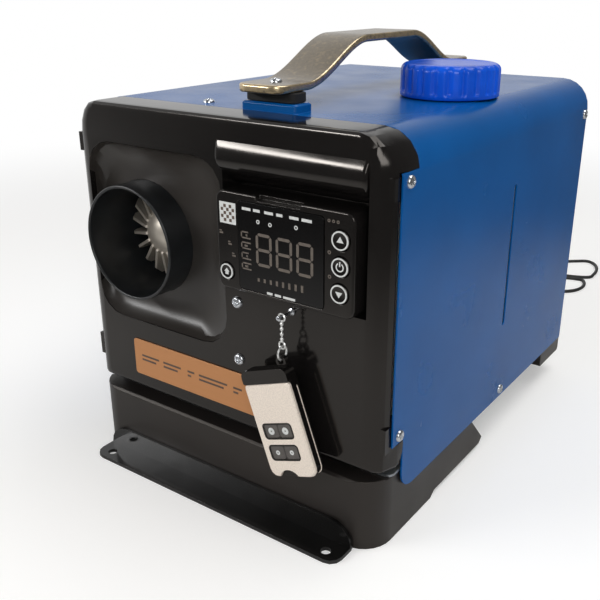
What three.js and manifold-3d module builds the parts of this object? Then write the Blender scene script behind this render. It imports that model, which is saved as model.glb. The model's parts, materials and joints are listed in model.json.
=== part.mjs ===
// Diesel air heater in a portable case: front panel with a 75 mm warm-air outlet, controller, hanging key fob,
// steel case, carrying handle, filler cap, and the burner, blower, tank and pump inside.
// Millimetres, +Z up, the front faces -Y; the source is written with y = 0 on the front panel's plane.
import * as THREE from "three";
import { mergeVertices } from "three/addons/utils/BufferGeometryUtils.js";
import Module from "manifold-3d";

const wasm = await Module();
wasm.setup();

// Driving dimensions
const CASE_WIDTH = 238.6;
const CASE_TOP = 245.4;
const CASE_BACK = 296.4;
const CASE_LOW = 32;
const CORNER_ROUND = 21.3;
const SHEET = 1.2;
const GAP = 0.3;

const PANEL_LOW = 52;
const PANEL_WALL = 2.5;
const PANEL_SIDE_ROUND = 15;
const PANEL_TOP_ROUND = 4;
const PANEL_LOW_ROUND = 5;
const FLANGE_DEPTH = 9.5;
const FLANGE_TOP_DEPTH = 26.4;
const FLANGE_LOW_DEPTH = 22;
const FLANGE_TOP_FROM = 226;
const FLANGE_LOW_TO = 68;

const DUCT_RADIUS = 37.5;
const DUCT_WALL = 2.2;
const DUCT_FRONT = -8;
const AXIS_X = -67.2;
const AXIS_Z = 159.8;

const HANDLE_X = 19.5;
const HANDLE_WIDTH = 33;
const HANDLE_FRONT = 18;
const HANDLE_BACK = 260.5;
const HANDLE_TAB_LENGTH = 27;
const HANDLE_RAMP_LENGTH = 64.8;
const HANDLE_TAB_RISE = 15.8;
const HANDLE_RISE = 38.8;
const HANDLE_THICK = 4.7;

const CAP_X = 73;
const CAP_Y = 150;
const CAP_RADIUS = 31.7;
const CAP_HEIGHT = 18;

const BASE_FRONT = -3.8;
const BASE_TOP = 47;

const HOOK_X = 57;
const HOOK_Z = 141;
const HOOK_WIRE = 0.9;
const FOB_TILT = THREE.MathUtils.degToRad(20);
const FOB_X = 58.5;
const FOB_Z = 71;
const FOB_FACE = -15.3;
const FOB_BACK = -4.9;

// Sizes that follow
const HALF = CASE_WIDTH / 2;
const INNER_HALF = HALF - SHEET;
const BASE_HALF = INNER_HALF - 1.1;
const REAR_FACE = CASE_BACK - 0.4;

// Materials
function paint(colour, roughness, metalness = 0) {
  return new THREE.MeshStandardMaterial({ color: colour, roughness, metalness });
}
const BLUE_PAINT = paint(0x1f5fa6, 0.3);
const GLOSS_BLACK = paint(0x151516, 0.15);
const SATIN_BLACK = paint(0x1b1b1c, 0.45);
const RUBBER = paint(0x101010, 0.85);
const CAP_BLUE = paint(0x0b50c8, 0.4);
const CAST_ALUMINIUM = paint(0xa9abad, 0.5, 0.9);
const STEEL = paint(0xb8babd, 0.35, 1);
const BRONZE = paint(0x8c8478, 0.35, 0.9);
const COPPER_FILM = paint(0xc88c5a, 0.4, 0.3);
const SILVER = paint(0xd9d2c8, 0.35, 0.4);
const GLASS_BLACK = paint(0x0a0c10, 0.08);
const KEY_WHITE = paint(0xd8dadc, 0.5);
const TANK_WHITE = paint(0xe6e4dc, 0.5);
const BOARD_GREEN = paint(0x1f6b3a, 0.5);

// Geometry helpers

// Merges a surface's corners, drops collapsed faces and turns every face outwards.
function closed(geometry) {
  const bare = geometry.clone();
  bare.deleteAttribute("normal");
  bare.deleteAttribute("uv");
  const merged = mergeVertices(bare, 1e-4);
  const spots = merged.attributes.position;
  const corners = [];
  let volume = 0;
  for (let i = 0; i < merged.index.count; i += 3) {
    const face = [0, 1, 2].map((k) => merged.index.getX(i + k));
    if (new Set(face).size < 3) continue;
    corners.push(...face);
    const [a, b, c] = face.map((k) => new THREE.Vector3().fromBufferAttribute(spots, k));
    volume += a.dot(b.cross(c));
  }
  merged.setIndex(volume < 0 ? corners.reverse() : corners);
  return merged;
}

function solidOf(geometry) {
  const shape = closed(geometry);
  const vertProperties = new Float32Array(shape.attributes.position.array);
  const triVerts = new Uint32Array(shape.index.array);
  return new wasm.Manifold(new wasm.Mesh({ numProp: 3, vertProperties, triVerts }));
}

function geometryOf(solid) {
  const mesh = solid.getMesh();
  const geometry = new THREE.BufferGeometry();
  geometry.setAttribute("position", new THREE.BufferAttribute(mesh.vertProperties, 3));
  geometry.setIndex(Array.from(mesh.triVerts));
  return geometry;
}

function join(first, ...others) {
  return geometryOf(others.reduce((sum, other) => sum.add(solidOf(other)), solidOf(first)));
}

function carve(first, ...tools) {
  return geometryOf(tools.reduce((rest, tool) => rest.subtract(solidOf(tool)), solidOf(first)));
}

function common(first, second) {
  return geometryOf(solidOf(first).intersect(solidOf(second)));
}

// Moves (u, v, w) to the part's axes, with w along the named one.
function along(axis, u, v, w) {
  if (axis === "x") return new THREE.Vector3(w, u, v);
  if (axis === "y") return new THREE.Vector3(u, w, v);
  return new THREE.Vector3(u, v, w);
}

// A closed surface through outlines of equal point counts: layers of [outline, w].
function loft(axis, layers) {
  const count = layers[0][0].length;
  const spots = layers.flatMap(([outline, w]) => outline.map((p) => along(axis, p.x, p.y, w)));
  const corners = [];
  for (let layer = 0; layer < layers.length - 1; layer++) {
    for (let i = 0; i < count; i++) {
      const a = layer * count + i;
      const b = layer * count + ((i + 1) % count);
      corners.push(a, b, b + count, a, b + count, a + count);
    }
  }
  const last = (layers.length - 1) * count;
  for (const [a, b, c] of THREE.ShapeUtils.triangulateShape(layers[0][0], [])) {
    corners.push(a, c, b);
  }
  for (const [a, b, c] of THREE.ShapeUtils.triangulateShape(layers.at(-1)[0], [])) {
    corners.push(last + a, last + b, last + c);
  }
  return closed(new THREE.BufferGeometry().setFromPoints(spots).setIndex(corners));
}

function prism(axis, outline, from, to) {
  return loft(axis, [
    [outline, from],
    [outline, to],
  ]);
}

// Points of an elliptical arc, with its end point only if it is asked for.
function arc(u, v, radiusU, radiusV, fromDegrees, toDegrees, steps) {
  return Array.from({ length: steps + 1 }, (_, i) => {
    const angle = THREE.MathUtils.degToRad(fromDegrees + ((toDegrees - fromDegrees) * i) / steps);
    return new THREE.Vector2(u + radiusU * Math.cos(angle), v + radiusV * Math.sin(angle));
  });
}

function circle(u, v, radius, steps = 24) {
  return arc(u, v, radius, radius, 0, 360 - 360 / steps, steps - 1);
}

// A rectangle with elliptical corners: a radius is a number or [across, up].
function roundRect(left, right, low, high, lowRadius, highRadius = lowRadius, steps = 3) {
  const [lowU, lowV] = [lowRadius].flat().length > 1 ? lowRadius : [lowRadius, lowRadius];
  const [highU, highV] = [highRadius].flat().length > 1 ? highRadius : [highRadius, highRadius];
  return [
    ...arc(right - lowU, low + lowV, lowU, lowV, -90, 0, steps),
    ...arc(right - highU, high - highV, highU, highV, 0, 90, steps),
    ...arc(left + highU, high - highV, highU, highV, 90, 180, steps),
    ...arc(left + lowU, low + lowV, lowU, lowV, 180, 270, steps),
  ];
}

function box(left, right, front, back, low, high) {
  return new THREE.BoxGeometry(right - left, back - front, high - low).translate(
    (left + right) / 2,
    (front + back) / 2,
    (low + high) / 2,
  );
}

// A rod along an axis at (u, v), in the order that along() takes them.
function rod(axis, u, v, radius, from, to, steps = 24) {
  return prism(axis, circle(u, v, radius, steps), from, to);
}

// A profile of [radius, height] turned about an axis at (u, v).
function turned(axis, u, v, profile, steps = 32) {
  const points = profile.map(([radius, height]) => new THREE.Vector2(radius, height));
  const geometry = new THREE.LatheGeometry(points, steps);
  const spots = geometry.attributes.position;
  for (let i = 0; i < spots.count; i++) {
    const place = along(axis, spots.getX(i) + u, spots.getZ(i) + v, spots.getY(i));
    spots.setXYZ(i, place.x, place.y, place.z);
  }
  return closed(geometry);
}

function ring(axis, u, v, inner, outer, from, to, steps = 32) {
  const profile = [
    [inner, from],
    [outer, from],
    [outer, to],
    [inner, to],
    [inner, from],
  ];
  return turned(axis, u, v, profile, steps);
}

// A wire bent into a closed circle of the given radius about a centre.
function wireRing(axis, centre, radius, wire, steps = 20, sides = 6) {
  const geometry = new THREE.TorusGeometry(radius, wire, sides, steps);
  if (axis === "x") geometry.rotateY(Math.PI / 2);
  if (axis === "y") geometry.rotateX(Math.PI / 2);
  return closed(geometry.translate(...centre));
}

// A round tube swept through points.
function pipe(points, radius, sides, steps, bore = 0) {
  const section = new THREE.Shape(circle(0, 0, radius, sides));
  if (bore > 0) section.holes.push(new THREE.Path(circle(0, 0, bore, sides)));
  const extrudePath = new THREE.CatmullRomCurve3(points.map((p) => new THREE.Vector3(...p)));
  extrudePath.arcLengthDivisions = 20 * points.length;
  return closed(new THREE.ExtrudeGeometry(section, { steps, extrudePath }));
}

// How far a rounded edge stands in from its side, at a depth behind the front.
function edgeInset(radius, depth) {
  if (depth >= radius) return 0;
  return radius - Math.sqrt(radius ** 2 - (radius - depth) ** 2);
}

function mix(a, b, share) {
  return a + (b - a) * share;
}

const part = new THREE.Group();
part.name = "diesel_air_heater";

function piece(name, material, geometry) {
  const shape = closed(geometry);
  shape.computeVertexNormals();
  const mesh = new THREE.Mesh(shape, material);
  mesh.name = name;
  part.add(mesh);
}

// Front panel: a glossy moulding with rounded sides, an outlet pocket and a controller recess.
const POCKET = { left: -106.5, right: 6.6, low: 104, high: 221, round: 20 };
const POCKET_FLOOR = { left: -105.5, right: -14, low: 121, high: 201, round: 32 };
const POCKET_DEPTH = 12;
const BOWL_STEPS = 4;
const CONTROL = { left: 8.6, right: 102, low: 148, high: 206.2, front: -7, back: 12.7 };
const RECESS = { left: 8.3, right: 105.5, low: 147.4, shoulder: 207, high: 230, depth: 13 };
const PANEL_SCREWS = { upper: 137, lower: 99.5 };
const PANEL_SCREW_X = 16.2;
const SCREW_SIDES = 8;
const SCREW_SHANK = 1.7;
const SCREW_HOLE = SCREW_SHANK + GAP;
const TOP_SCREW = { x: -34, y: 38 };
const SIDE_SCREWS = {
  front_upper: [16.9, 220.6],
  front_lower: [17.3, 73.3],
  rear_upper: [290.4, 220.3],
  lower_middle: [167, 38.4],
};

function panelLayer(depth, wall) {
  const side = edgeInset(PANEL_SIDE_ROUND - wall, depth - wall);
  const top = edgeInset(Math.max(PANEL_TOP_ROUND - wall, 0.5), depth - wall);
  const low = edgeInset(PANEL_LOW_ROUND - wall, depth - wall);
  const half = HALF - wall - side;
  const corner = [CORNER_ROUND - wall - side, CORNER_ROUND - wall - top];
  return [roundRect(-half, half, PANEL_LOW + wall + low, CASE_TOP - wall - top, 3, corner, 4), depth];
}

// What lies behind the panel's flange, whose edge is stepped at the top and bottom of each side.
function behindFlange() {
  const radius = FLANGE_LOW_DEPTH - 10;
  const outline = [
    new THREE.Vector2(40, PANEL_LOW - 10),
    new THREE.Vector2(40, CASE_TOP + 10),
    new THREE.Vector2(FLANGE_TOP_DEPTH, CASE_TOP + 10),
    new THREE.Vector2(FLANGE_TOP_DEPTH, FLANGE_TOP_FROM),
    new THREE.Vector2(FLANGE_DEPTH, FLANGE_TOP_FROM),
    new THREE.Vector2(FLANGE_DEPTH, FLANGE_LOW_TO),
    new THREE.Vector2(FLANGE_LOW_DEPTH, FLANGE_LOW_TO),
    ...arc(10, PANEL_LOW + radius, radius, radius, 0, -90, 5),
    new THREE.Vector2(10, PANEL_LOW - 10),
  ];
  return prism("x", outline, -HALF - 5, HALF + 5);
}

function pocketLayer(share, extra, depth) {
  return [
    roundRect(
      mix(POCKET.left, POCKET_FLOOR.left, share) - extra,
      mix(POCKET.right, POCKET_FLOOR.right, share) + extra,
      mix(POCKET.low, POCKET_FLOOR.low, share) - extra,
      mix(POCKET.high, POCKET_FLOOR.high, share) + extra,
      mix(POCKET.round, POCKET_FLOOR.round, share) + extra,
      undefined,
      4,
    ),
    depth,
  ];
}

// The bowl's wall goes straight in at the lip and turns into the floor on a quarter ellipse.
function pocketBowl(extra, shift) {
  const layers = [];
  for (let i = 0; i <= BOWL_STEPS; i++) {
    const angle = (i / BOWL_STEPS) * (Math.PI / 2);
    layers.push(pocketLayer(1 - Math.cos(angle), extra, POCKET_DEPTH * Math.sin(angle) + shift));
  }
  return layers;
}

// The controller's recess, or with a wall the moulding round it: its top is the brow's quarter round.
function recessBlock(wall) {
  const depth = RECESS.depth + wall;
  const front = wall > 0 ? 1 : -5;
  const drop = RECESS.high - RECESS.shoulder - wall;
  const outline = [
    new THREE.Vector2(front, RECESS.low - wall),
    new THREE.Vector2(depth, RECESS.low - wall),
    new THREE.Vector2(depth, RECESS.shoulder + wall),
    ...arc(RECESS.depth, RECESS.high, RECESS.depth - wall, drop, 270, 180, 6).slice(wall > 0 ? 0 : 1),
    new THREE.Vector2(front, RECESS.high),
  ];
  return prism("x", outline, RECESS.left - wall, RECESS.right + wall);
}

function frontPanel() {
  const depths = [0, 0.8, 2.4, 5.5, 15, 30];
  const outer = loft("y", depths.map((depth) => panelLayer(depth, 0)));
  const inner = loft("y", depths.map((depth) => panelLayer(depth + PANEL_WALL, PANEL_WALL)));
  const skin = carve(outer, inner, behindFlange());
  const bowl = loft("y", pocketBowl(PANEL_WALL, PANEL_WALL));
  const bowlStart = prism("y", pocketLayer(0, PANEL_WALL, 0)[0], 1, PANEL_WALL + 0.01);
  const brow = recessBlock(PANEL_WALL);
  const lugs = [];
  for (const side of [-1, 1]) {
    const [left, right] = side < 0 ? [-INNER_HALF + GAP, 13.3 - HALF] : [HALF - 13.3, INNER_HALF - GAP];
    lugs.push(box(left, right, 4, 24, 212, 224));
    lugs.push(box(left, right, 4, 21.7, 66, 82));
  }
  lugs.push(box(TOP_SCREW.x - 8, TOP_SCREW.x + 8, 15, 46, 236, CASE_TOP - SHEET - GAP));
  const body = join(skin, bowl, bowlStart, brow, ...lugs);
  const holes = Object.values(PANEL_SCREWS).map((z) => rod("y", PANEL_SCREW_X, z, SCREW_HOLE, -1, 5, SCREW_SIDES));
  for (const [y, z] of [SIDE_SCREWS.front_upper, SIDE_SCREWS.front_lower]) {
    holes.push(rod("x", y, z, SCREW_HOLE, 100, HALF + 1, SCREW_SIDES));
    holes.push(rod("x", y, z, SCREW_HOLE, -HALF - 1, -100, SCREW_SIDES));
  }
  holes.push(rod("z", TOP_SCREW.x, TOP_SCREW.y, SCREW_HOLE, 230, CASE_TOP + 1, SCREW_SIDES));
  holes.push(rod("y", HOOK_X, HOOK_Z, HOOK_WIRE + GAP, -1, 5, SCREW_SIDES));
  return carve(
    body,
    loft("y", [pocketLayer(0, 1.5, -1), pocketLayer(0, 0, 0.5), ...pocketBowl(0, 0).slice(1)]),
    recessBlock(0),
    rod("y", AXIS_X, AXIS_Z, DUCT_RADIUS + GAP, -5, 30, 36),
    ...holes,
  );
}

function controllerHousing() {
  const outline = (inset) =>
    roundRect(CONTROL.left + inset, CONTROL.right - inset, CONTROL.low + inset, CONTROL.high - inset, 5 - inset);
  const body = loft("y", [
    [outline(1.5), CONTROL.front],
    [outline(0.4), CONTROL.front + 0.5],
    [outline(0), CONTROL.front + 1.8],
    [outline(0), CONTROL.back],
  ]);
  const holes = Object.values(BUTTONS).map((b) =>
    rod("y", b.x, b.z, b.radius + GAP, CONTROL.front - 1, CONTROL.front + BUTTON_BODY + BUTTON_TRAVEL + GAP, 20),
  );
  const notch = prism("y", roundRect(37.6, 67.8, 203.6, 210, 1), CONTROL.front - 1, CONTROL.front + 4);
  return carve(body, windowPlate(GAP, CONTROL.front - 1, CONTROL.front + WINDOW.inset + GAP), notch, ...holes);
}

// Controller buttons stand 1 mm proud and are pressed in by BUTTON_TRAVEL.
const BUTTON_TRAVEL = 0.8;
const BUTTON_PROUD = 1;
const BUTTON_BODY = 3;
const BUTTONS = {
  home: { x: 15.9, z: 159, radius: 5 },
  up: { x: 93.6, z: 191.2, radius: 5.6 },
  power: { x: 93.6, z: 176.8, radius: 5.6 },
  down: { x: 93.2, z: 161.9, radius: 5.6 },
};
const WINDOW = { left: 25, right: 83, low: 150.6, high: 202, inset: 1, proud: 0.2 };

function windowPlate(grow, from, to) {
  const { left, right, low, high } = WINDOW;
  return prism("y", roundRect(left - grow, right + grow, low - grow, high + grow, 2 + grow), from, to);
}

function button({ x, z, radius }) {
  const front = CONTROL.front - BUTTON_PROUD;
  const profile = [
    [0, front + 0.4],
    [radius * 0.62, front + 0.25],
    [radius - 0.8, front],
    [radius, front + 0.7],
    [radius, CONTROL.front + BUTTON_BODY],
    [0, CONTROL.front + BUTTON_BODY],
  ];
  return turned("y", x, z, profile, 16);
}

// A pan-head screw: its head's underside stands on the face at w, and it points along its axis by sign.
function panScrew(axis, u, v, face, sign, head, shank, length) {
  const w = (height) => face - sign * height;
  const profile = [
    [0, w(head * 0.58)],
    [head * 0.62, w(head * 0.48)],
    [head, w(GAP)],
    [shank, w(GAP)],
    [shank, w(-length)],
    [0, w(-length)],
  ];
  return turned(axis, u, v, profile, SCREW_SIDES);
}

function controller() {
  piece("front_panel", GLOSS_BLACK, frontPanel());
  piece("controller_housing", SATIN_BLACK, controllerHousing());
  const windowFront = CONTROL.front - WINDOW.proud;
  piece("controller_window", GLASS_BLACK, windowPlate(0, windowFront, CONTROL.front + WINDOW.inset));
  for (const [name, spot] of Object.entries(BUTTONS)) {
    piece("controller_button_" + name, SATIN_BLACK, button(spot));
  }
  const label = roundRect(-77, 50, 64, 90, 2, 2, 3);
  piece("label_plate", COPPER_FILM, prism("y", label, -0.3 - 0.8, -0.3));
  for (const [name, z] of Object.entries(PANEL_SCREWS)) {
    piece("panel_screw_" + name, STEEL, panScrew("y", PANEL_SCREW_X, z, 0, 1, 3.8, SCREW_SHANK, 9));
  }
}

// Warm-air side: duct, casing, exchanger, burner and blower on one axis.
const CASING = { half: 47, rise: 52, front: 44, back: 293.1, wall: 2.5, round: 26 };
const FLUE = { x: AXIS_X + 14, y: 132, radius: 10, bore: 8.4 };
const INLET = { x: AXIS_X - 14, y: 163, radius: 8, bore: 6.4 };
const FUEL_INLET = { x: AXIS_X - 18, y: 142 };
const EXCHANGER_BACK = 150;
const FIN_COUNT = 18;

function outletDuct() {
  const inner = DUCT_RADIUS - DUCT_WALL;
  const back = CASING.front - GAP;
  const profile = [
    [inner, back],
    [inner, DUCT_FRONT + 0.8],
    [inner + 0.7, DUCT_FRONT],
    [DUCT_RADIUS - 0.7, DUCT_FRONT],
    [DUCT_RADIUS, DUCT_FRONT + 0.8],
    [DUCT_RADIUS, back],
    [inner, back],
  ];
  return turned("y", AXIS_X, AXIS_Z, profile, 36);
}

function casingOutline(inset) {
  const { half, rise, round } = CASING;
  const [left, right] = [AXIS_X - half + inset, AXIS_X + half - inset];
  return roundRect(left, right, AXIS_Z - rise + inset, AXIS_Z + rise - inset, round - inset, undefined, 5);
}

function casingHalf(lower) {
  const tube = carve(
    prism("y", casingOutline(0), CASING.front, CASING.back),
    prism("y", casingOutline(CASING.wall), CASING.front + CASING.wall, CASING.back + 1),
    rod("y", AXIS_X, AXIS_Z, DUCT_RADIUS - DUCT_WALL, CASING.front - 1, CASING.front + 5, 36),
  );
  const [low, high] = lower ? [AXIS_Z - 80, AXIS_Z - GAP / 2] : [AXIS_Z + GAP / 2, AXIS_Z + 80];
  const half = common(tube, box(AXIS_X - 80, AXIS_X + 80, 0, 400, low, high));
  return lower ? casingLower(half) : casingUpper(half);
}

// The lower half carries the exchanger on two saddles and lets the flue, the inlet and the fuel pipe out.
function casingLower(half) {
  const floor = AXIS_Z - CASING.rise + CASING.wall - 0.5;
  const saddles = [75, 112].map((y) => box(AXIS_X - 9, AXIS_X + 9, y, y + 8, floor, floor + 10));
  const nipple = rod("z", FUEL_INLET.x, FUEL_INLET.y, 2.5, 100, AXIS_Z - CASING.rise + 1, 10);
  const low = AXIS_Z - CASING.rise - 2;
  const spouts = [FLUE, INLET].map((pipe) => rod("z", pipe.x, pipe.y, pipe.radius + GAP, low, low + 12, 16));
  return carve(
    join(half, ...saddles, nipple),
    rod("y", AXIS_X, AXIS_Z, 42.5 + GAP, 60, 140, 36),
    ...spouts,
  );
}

// The upper half carries the control board on four posts.
const BOARD = { left: -108, right: -26, front: 72, back: 208, low: 217, thick: 1.6 };
function casingUpper(half) {
  const posts = [];
  for (const x of [BOARD.left + 14, BOARD.right - 14]) {
    for (const y of [BOARD.front + 8, BOARD.back - 8]) {
      posts.push(rod("z", x, y, 3, AXIS_Z + CASING.rise - 2, BOARD.low - GAP, 10));
    }
  }
  return join(half, ...posts);
}

// Cast exchanger: a closed round-nosed cup with radial fins, short inside the duct and tall in the casing.
function heatExchanger() {
  const nose = 18;
  const cup = [
    [0, nose],
    ...[15, 35, 55, 75, 90].map((degrees) => {
      const angle = THREE.MathUtils.degToRad(degrees);
      return [26 * Math.sin(angle), nose + 26 * (1 - Math.cos(angle))];
    }),
    [26, EXCHANGER_BACK - 4],
    [33, EXCHANGER_BACK - 4],
    [33, EXCHANGER_BACK],
    [22, EXCHANGER_BACK],
    [22, nose + 28],
    [15, nose + 14],
    [0, nose + 8],
  ];
  const finFront = nose + 3;
  const step = CASING.front + CASING.wall + GAP + 2;
  const fin = new THREE.Shape([
    new THREE.Vector2(24, finFront + 22),
    new THREE.Vector2(9, finFront + 4),
    new THREE.Vector2(14, finFront),
    new THREE.Vector2(29, finFront + 3),
    new THREE.Vector2(33.4, finFront + 9),
    new THREE.Vector2(33.4, step),
    new THREE.Vector2(42.5, step + 6),
    new THREE.Vector2(42.5, EXCHANGER_BACK - 8),
    new THREE.Vector2(24, EXCHANGER_BACK - 4),
  ]);
  const blank = new THREE.ExtrudeGeometry(fin, { depth: 2, bevelEnabled: false }).translate(0, 0, -1);
  const fins = Array.from({ length: FIN_COUNT }, (_, i) =>
    blank
      .clone()
      .rotateY((2 * Math.PI * (i + 0.5)) / FIN_COUNT)
      .translate(AXIS_X, 0, AXIS_Z),
  );
  const flue = rod("z", FLUE.x, FLUE.y, FLUE.radius - 1, AXIS_Z - CASING.rise + CASING.wall + 1, AXIS_Z - 20, 12);
  const flueBore = rod("z", FLUE.x, FLUE.y, FLUE.bore - 1.5, AXIS_Z - 60, AXIS_Z - 10, 10);
  return carve(join(turned("y", AXIS_X, AXIS_Z, cup, FIN_COUNT), flue, ...fins), flueBore);
}

// Blower housing: the combustion tube reaches forward into the exchanger, the air spout goes down.
const BLOWER = { front: EXCHANGER_BACK + GAP, back: 174, radius: 34, wall: 3 };
function blowerHousing() {
  const { front, back, radius, wall } = BLOWER;
  const profile = [
    [17.5, 62],
    [19, 62],
    [19, front],
    [radius, front],
    [radius, back],
    [radius - wall, back],
    [radius - wall, front + wall],
    [17.5, front + wall],
    [17.5, 62],
  ];
  const shell = turned("y", AXIS_X, AXIS_Z, profile, 24);
  const spout = carve(
    rod("z", INLET.x, INLET.y, INLET.radius, 8, AXIS_Z - 22, 12),
    rod("z", INLET.x, INLET.y, INLET.bore, 0, AXIS_Z, 12),
    rod("y", AXIS_X, AXIS_Z, radius - wall, front + wall, back + 1, 24),
  );
  const ports = [];
  for (let row = 0; row < 2; row++) {
    for (let i = 0; i < 3; i++) {
      const port = rod("z", 0, 80 + row * 30, 2.4, -24, 24, 5);
      ports.push(port.rotateY((Math.PI * (i + 0.25 + row / 2)) / 3).translate(AXIS_X, 0, AXIS_Z));
    }
  }
  return carve(
    join(shell, spout),
    rod("z", INLET.x, INLET.y, INLET.bore, 0, AXIS_Z - 18, 12),
    ...ports,
  );
}

const SHAFT = { radius: 3, front: 157, back: 269 };
const MOTOR = { front: BLOWER.back + GAP, back: 222, radius: 22 };
function blowerMotor() {
  const { front, back, radius } = MOTOR;
  const bore = SHAFT.radius + GAP;
  const profile = [
    [bore, front],
    [BLOWER.radius, front],
    [BLOWER.radius, front + 3],
    [radius, front + 5],
    [radius, back - 3],
    [radius - 3, back],
    [bore, back],
    [bore, front],
  ];
  const struts = [-1, 1].map((side) => {
    const strut = box(-2.5, 2.5, 190, 198, radius - 2, CASING.half - CASING.wall - GAP);
    return strut.rotateY((side * Math.PI) / 2).translate(AXIS_X, 0, AXIS_Z);
  });
  return join(turned("y", AXIS_X, AXIS_Z, profile, 24), ...struts);
}

// A blade twists from a steep root to a flatter tip, like a paddle set in the hub.
function blade(rootRadius, tipRadius, chord, thick, rootPitch, tipPitch, middle) {
  const layers = [0, 0.5, 1].map((share) => {
    const pitch = THREE.MathUtils.degToRad(mix(rootPitch, tipPitch, share));
    const width = chord * (1 + 0.35 * share);
    const corners = [
      [-width / 2, -thick / 2],
      [width / 2, -thick / 2],
      [width / 2, thick / 2],
      [-width / 2, thick / 2],
    ].map(([u, v]) => [u * Math.cos(pitch) - v * Math.sin(pitch), u * Math.sin(pitch) + v * Math.cos(pitch)]);
    return [corners.map(([u, v]) => new THREE.Vector2(u, middle + v)), mix(rootRadius, tipRadius, share)];
  });
  return loft("z", layers);
}

function bladed(count, hub, makeBlade) {
  const blades = Array.from({ length: count }, (_, i) =>
    makeBlade()
      .rotateY((2 * Math.PI * i) / count)
      .translate(AXIS_X, 0, AXIS_Z),
  );
  return join(turned("y", AXIS_X, AXIS_Z, hub, 2 * count), ...blades);
}

const FAN = { front: 248, back: 266, radius: 41 };
function warmAirFan() {
  const bore = SHAFT.radius + GAP;
  const hub = [
    [bore, FAN.front],
    [11, FAN.front],
    [11, FAN.back - 4],
    [8, FAN.back],
    [bore, FAN.back],
    [bore, FAN.front],
  ];
  const middle = (FAN.front + FAN.back) / 2;
  return bladed(7, hub, () => blade(9, FAN.radius, 15, 1.8, 52, 26, middle));
}

const IMPELLER = { front: 156, back: 170, radius: 27 };
function combustionImpeller() {
  const bore = SHAFT.radius + GAP;
  const hub = [
    [bore, IMPELLER.front],
    [7, IMPELLER.front],
    [9, IMPELLER.back - 2],
    [IMPELLER.radius, IMPELLER.back - 2],
    [IMPELLER.radius, IMPELLER.back],
    [bore, IMPELLER.back],
    [bore, IMPELLER.front],
  ];
  const middle = (IMPELLER.front + IMPELLER.back) / 2;
  return bladed(10, hub, () => blade(10, IMPELLER.radius - 0.5, 10, 1.4, 90, 90, middle));
}

function controlBoard() {
  const { left, right, front, back, low, thick } = BOARD;
  const top = low + thick - 0.1;
  return join(
    prism("z", roundRect(left, right, front, back, 3, 3, 2), low, low + thick),
    box(left + 8, left + 30, front + 6, front + 26, top, top + 11),
    box(right - 34, right - 8, front + 8, front + 20, top, top + 14),
    box(left + 12, left + 34, back - 40, back - 14, top, top + 15),
    box(right - 26, right - 6, back - 30, back - 22, top, top + 12),
    rod("z", left + 46, front + 62, 8, top, top + 17, 12),
    rod("z", left + 64, front + 66, 5, top, top + 13, 12),
  );
}

function warmAirSide() {
  piece("outlet_duct", SATIN_BLACK, outletDuct());
  piece("casing_lower", SATIN_BLACK, casingHalf(true));
  piece("casing_upper", SATIN_BLACK, casingHalf(false));
  piece("heat_exchanger", CAST_ALUMINIUM, heatExchanger());
  piece("blower_housing", CAST_ALUMINIUM, blowerHousing());
  piece("blower_motor", STEEL, blowerMotor());
  piece("rotor_shaft", STEEL, rod("y", AXIS_X, AXIS_Z, SHAFT.radius, SHAFT.front, SHAFT.back, 20));
  piece("warm_air_fan", SATIN_BLACK, warmAirFan());
  piece("combustion_impeller", CAST_ALUMINIUM, combustionImpeller());
  piece("control_board", BOARD_GREEN, controlBoard());
}

// Case: the bent steel shell, rear panel, bottom plate with the heater's stand, base and rear foot.
const REAR_WALL = 2.6;
const REAR = {
  front: REAR_FACE - 12,
  plate: REAR_FACE - REAR_WALL,
  back: REAR_FACE,
  low: 46.3,
  boxTop: 70,
  boxBack: REAR_FACE + 3.5,
};
const GUARD_RADIUS = 40;
const GLAND = { x: 20, z: 58.5 };
const NECK = { outer: 26, inner: 22.5, rise: 14 };
const NECK_SIDES = 24;
const PLINTH_RISE = 5;
const HANDLE_SCREW_INSET = 18.5;
const SEAT_INSET = 10;
const SEAT_LENGTH = 17;
const SEAT_HALF = 20;

function arch(half, low, top, round) {
  return [
    new THREE.Vector2(half, low),
    ...arc(half - round, top - round, round, round, 0, 90, 6),
    ...arc(-half + round, top - round, round, round, 90, 180, 6),
    new THREE.Vector2(-half, low),
  ];
}

// The two places where the handle stands, front and rear, as [front, back] along Y.
function handleSeats() {
  const front = HANDLE_FRONT + SEAT_INSET;
  const rear = HANDLE_BACK - SEAT_INSET;
  return [
    [front, front + SEAT_LENGTH],
    [rear - SEAT_LENGTH, rear],
  ];
}

function handleScrewPlaces() {
  return [HANDLE_FRONT + HANDLE_SCREW_INSET, HANDLE_BACK - HANDLE_SCREW_INSET];
}

function sideHoles(places) {
  return places.flatMap(([y, z]) => [
    rod("x", y, z, SCREW_HOLE, 100, HALF + 1, SCREW_SIDES),
    rod("x", y, z, SCREW_HOLE, -HALF - 1, -100, SCREW_SIDES),
  ]);
}

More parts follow.
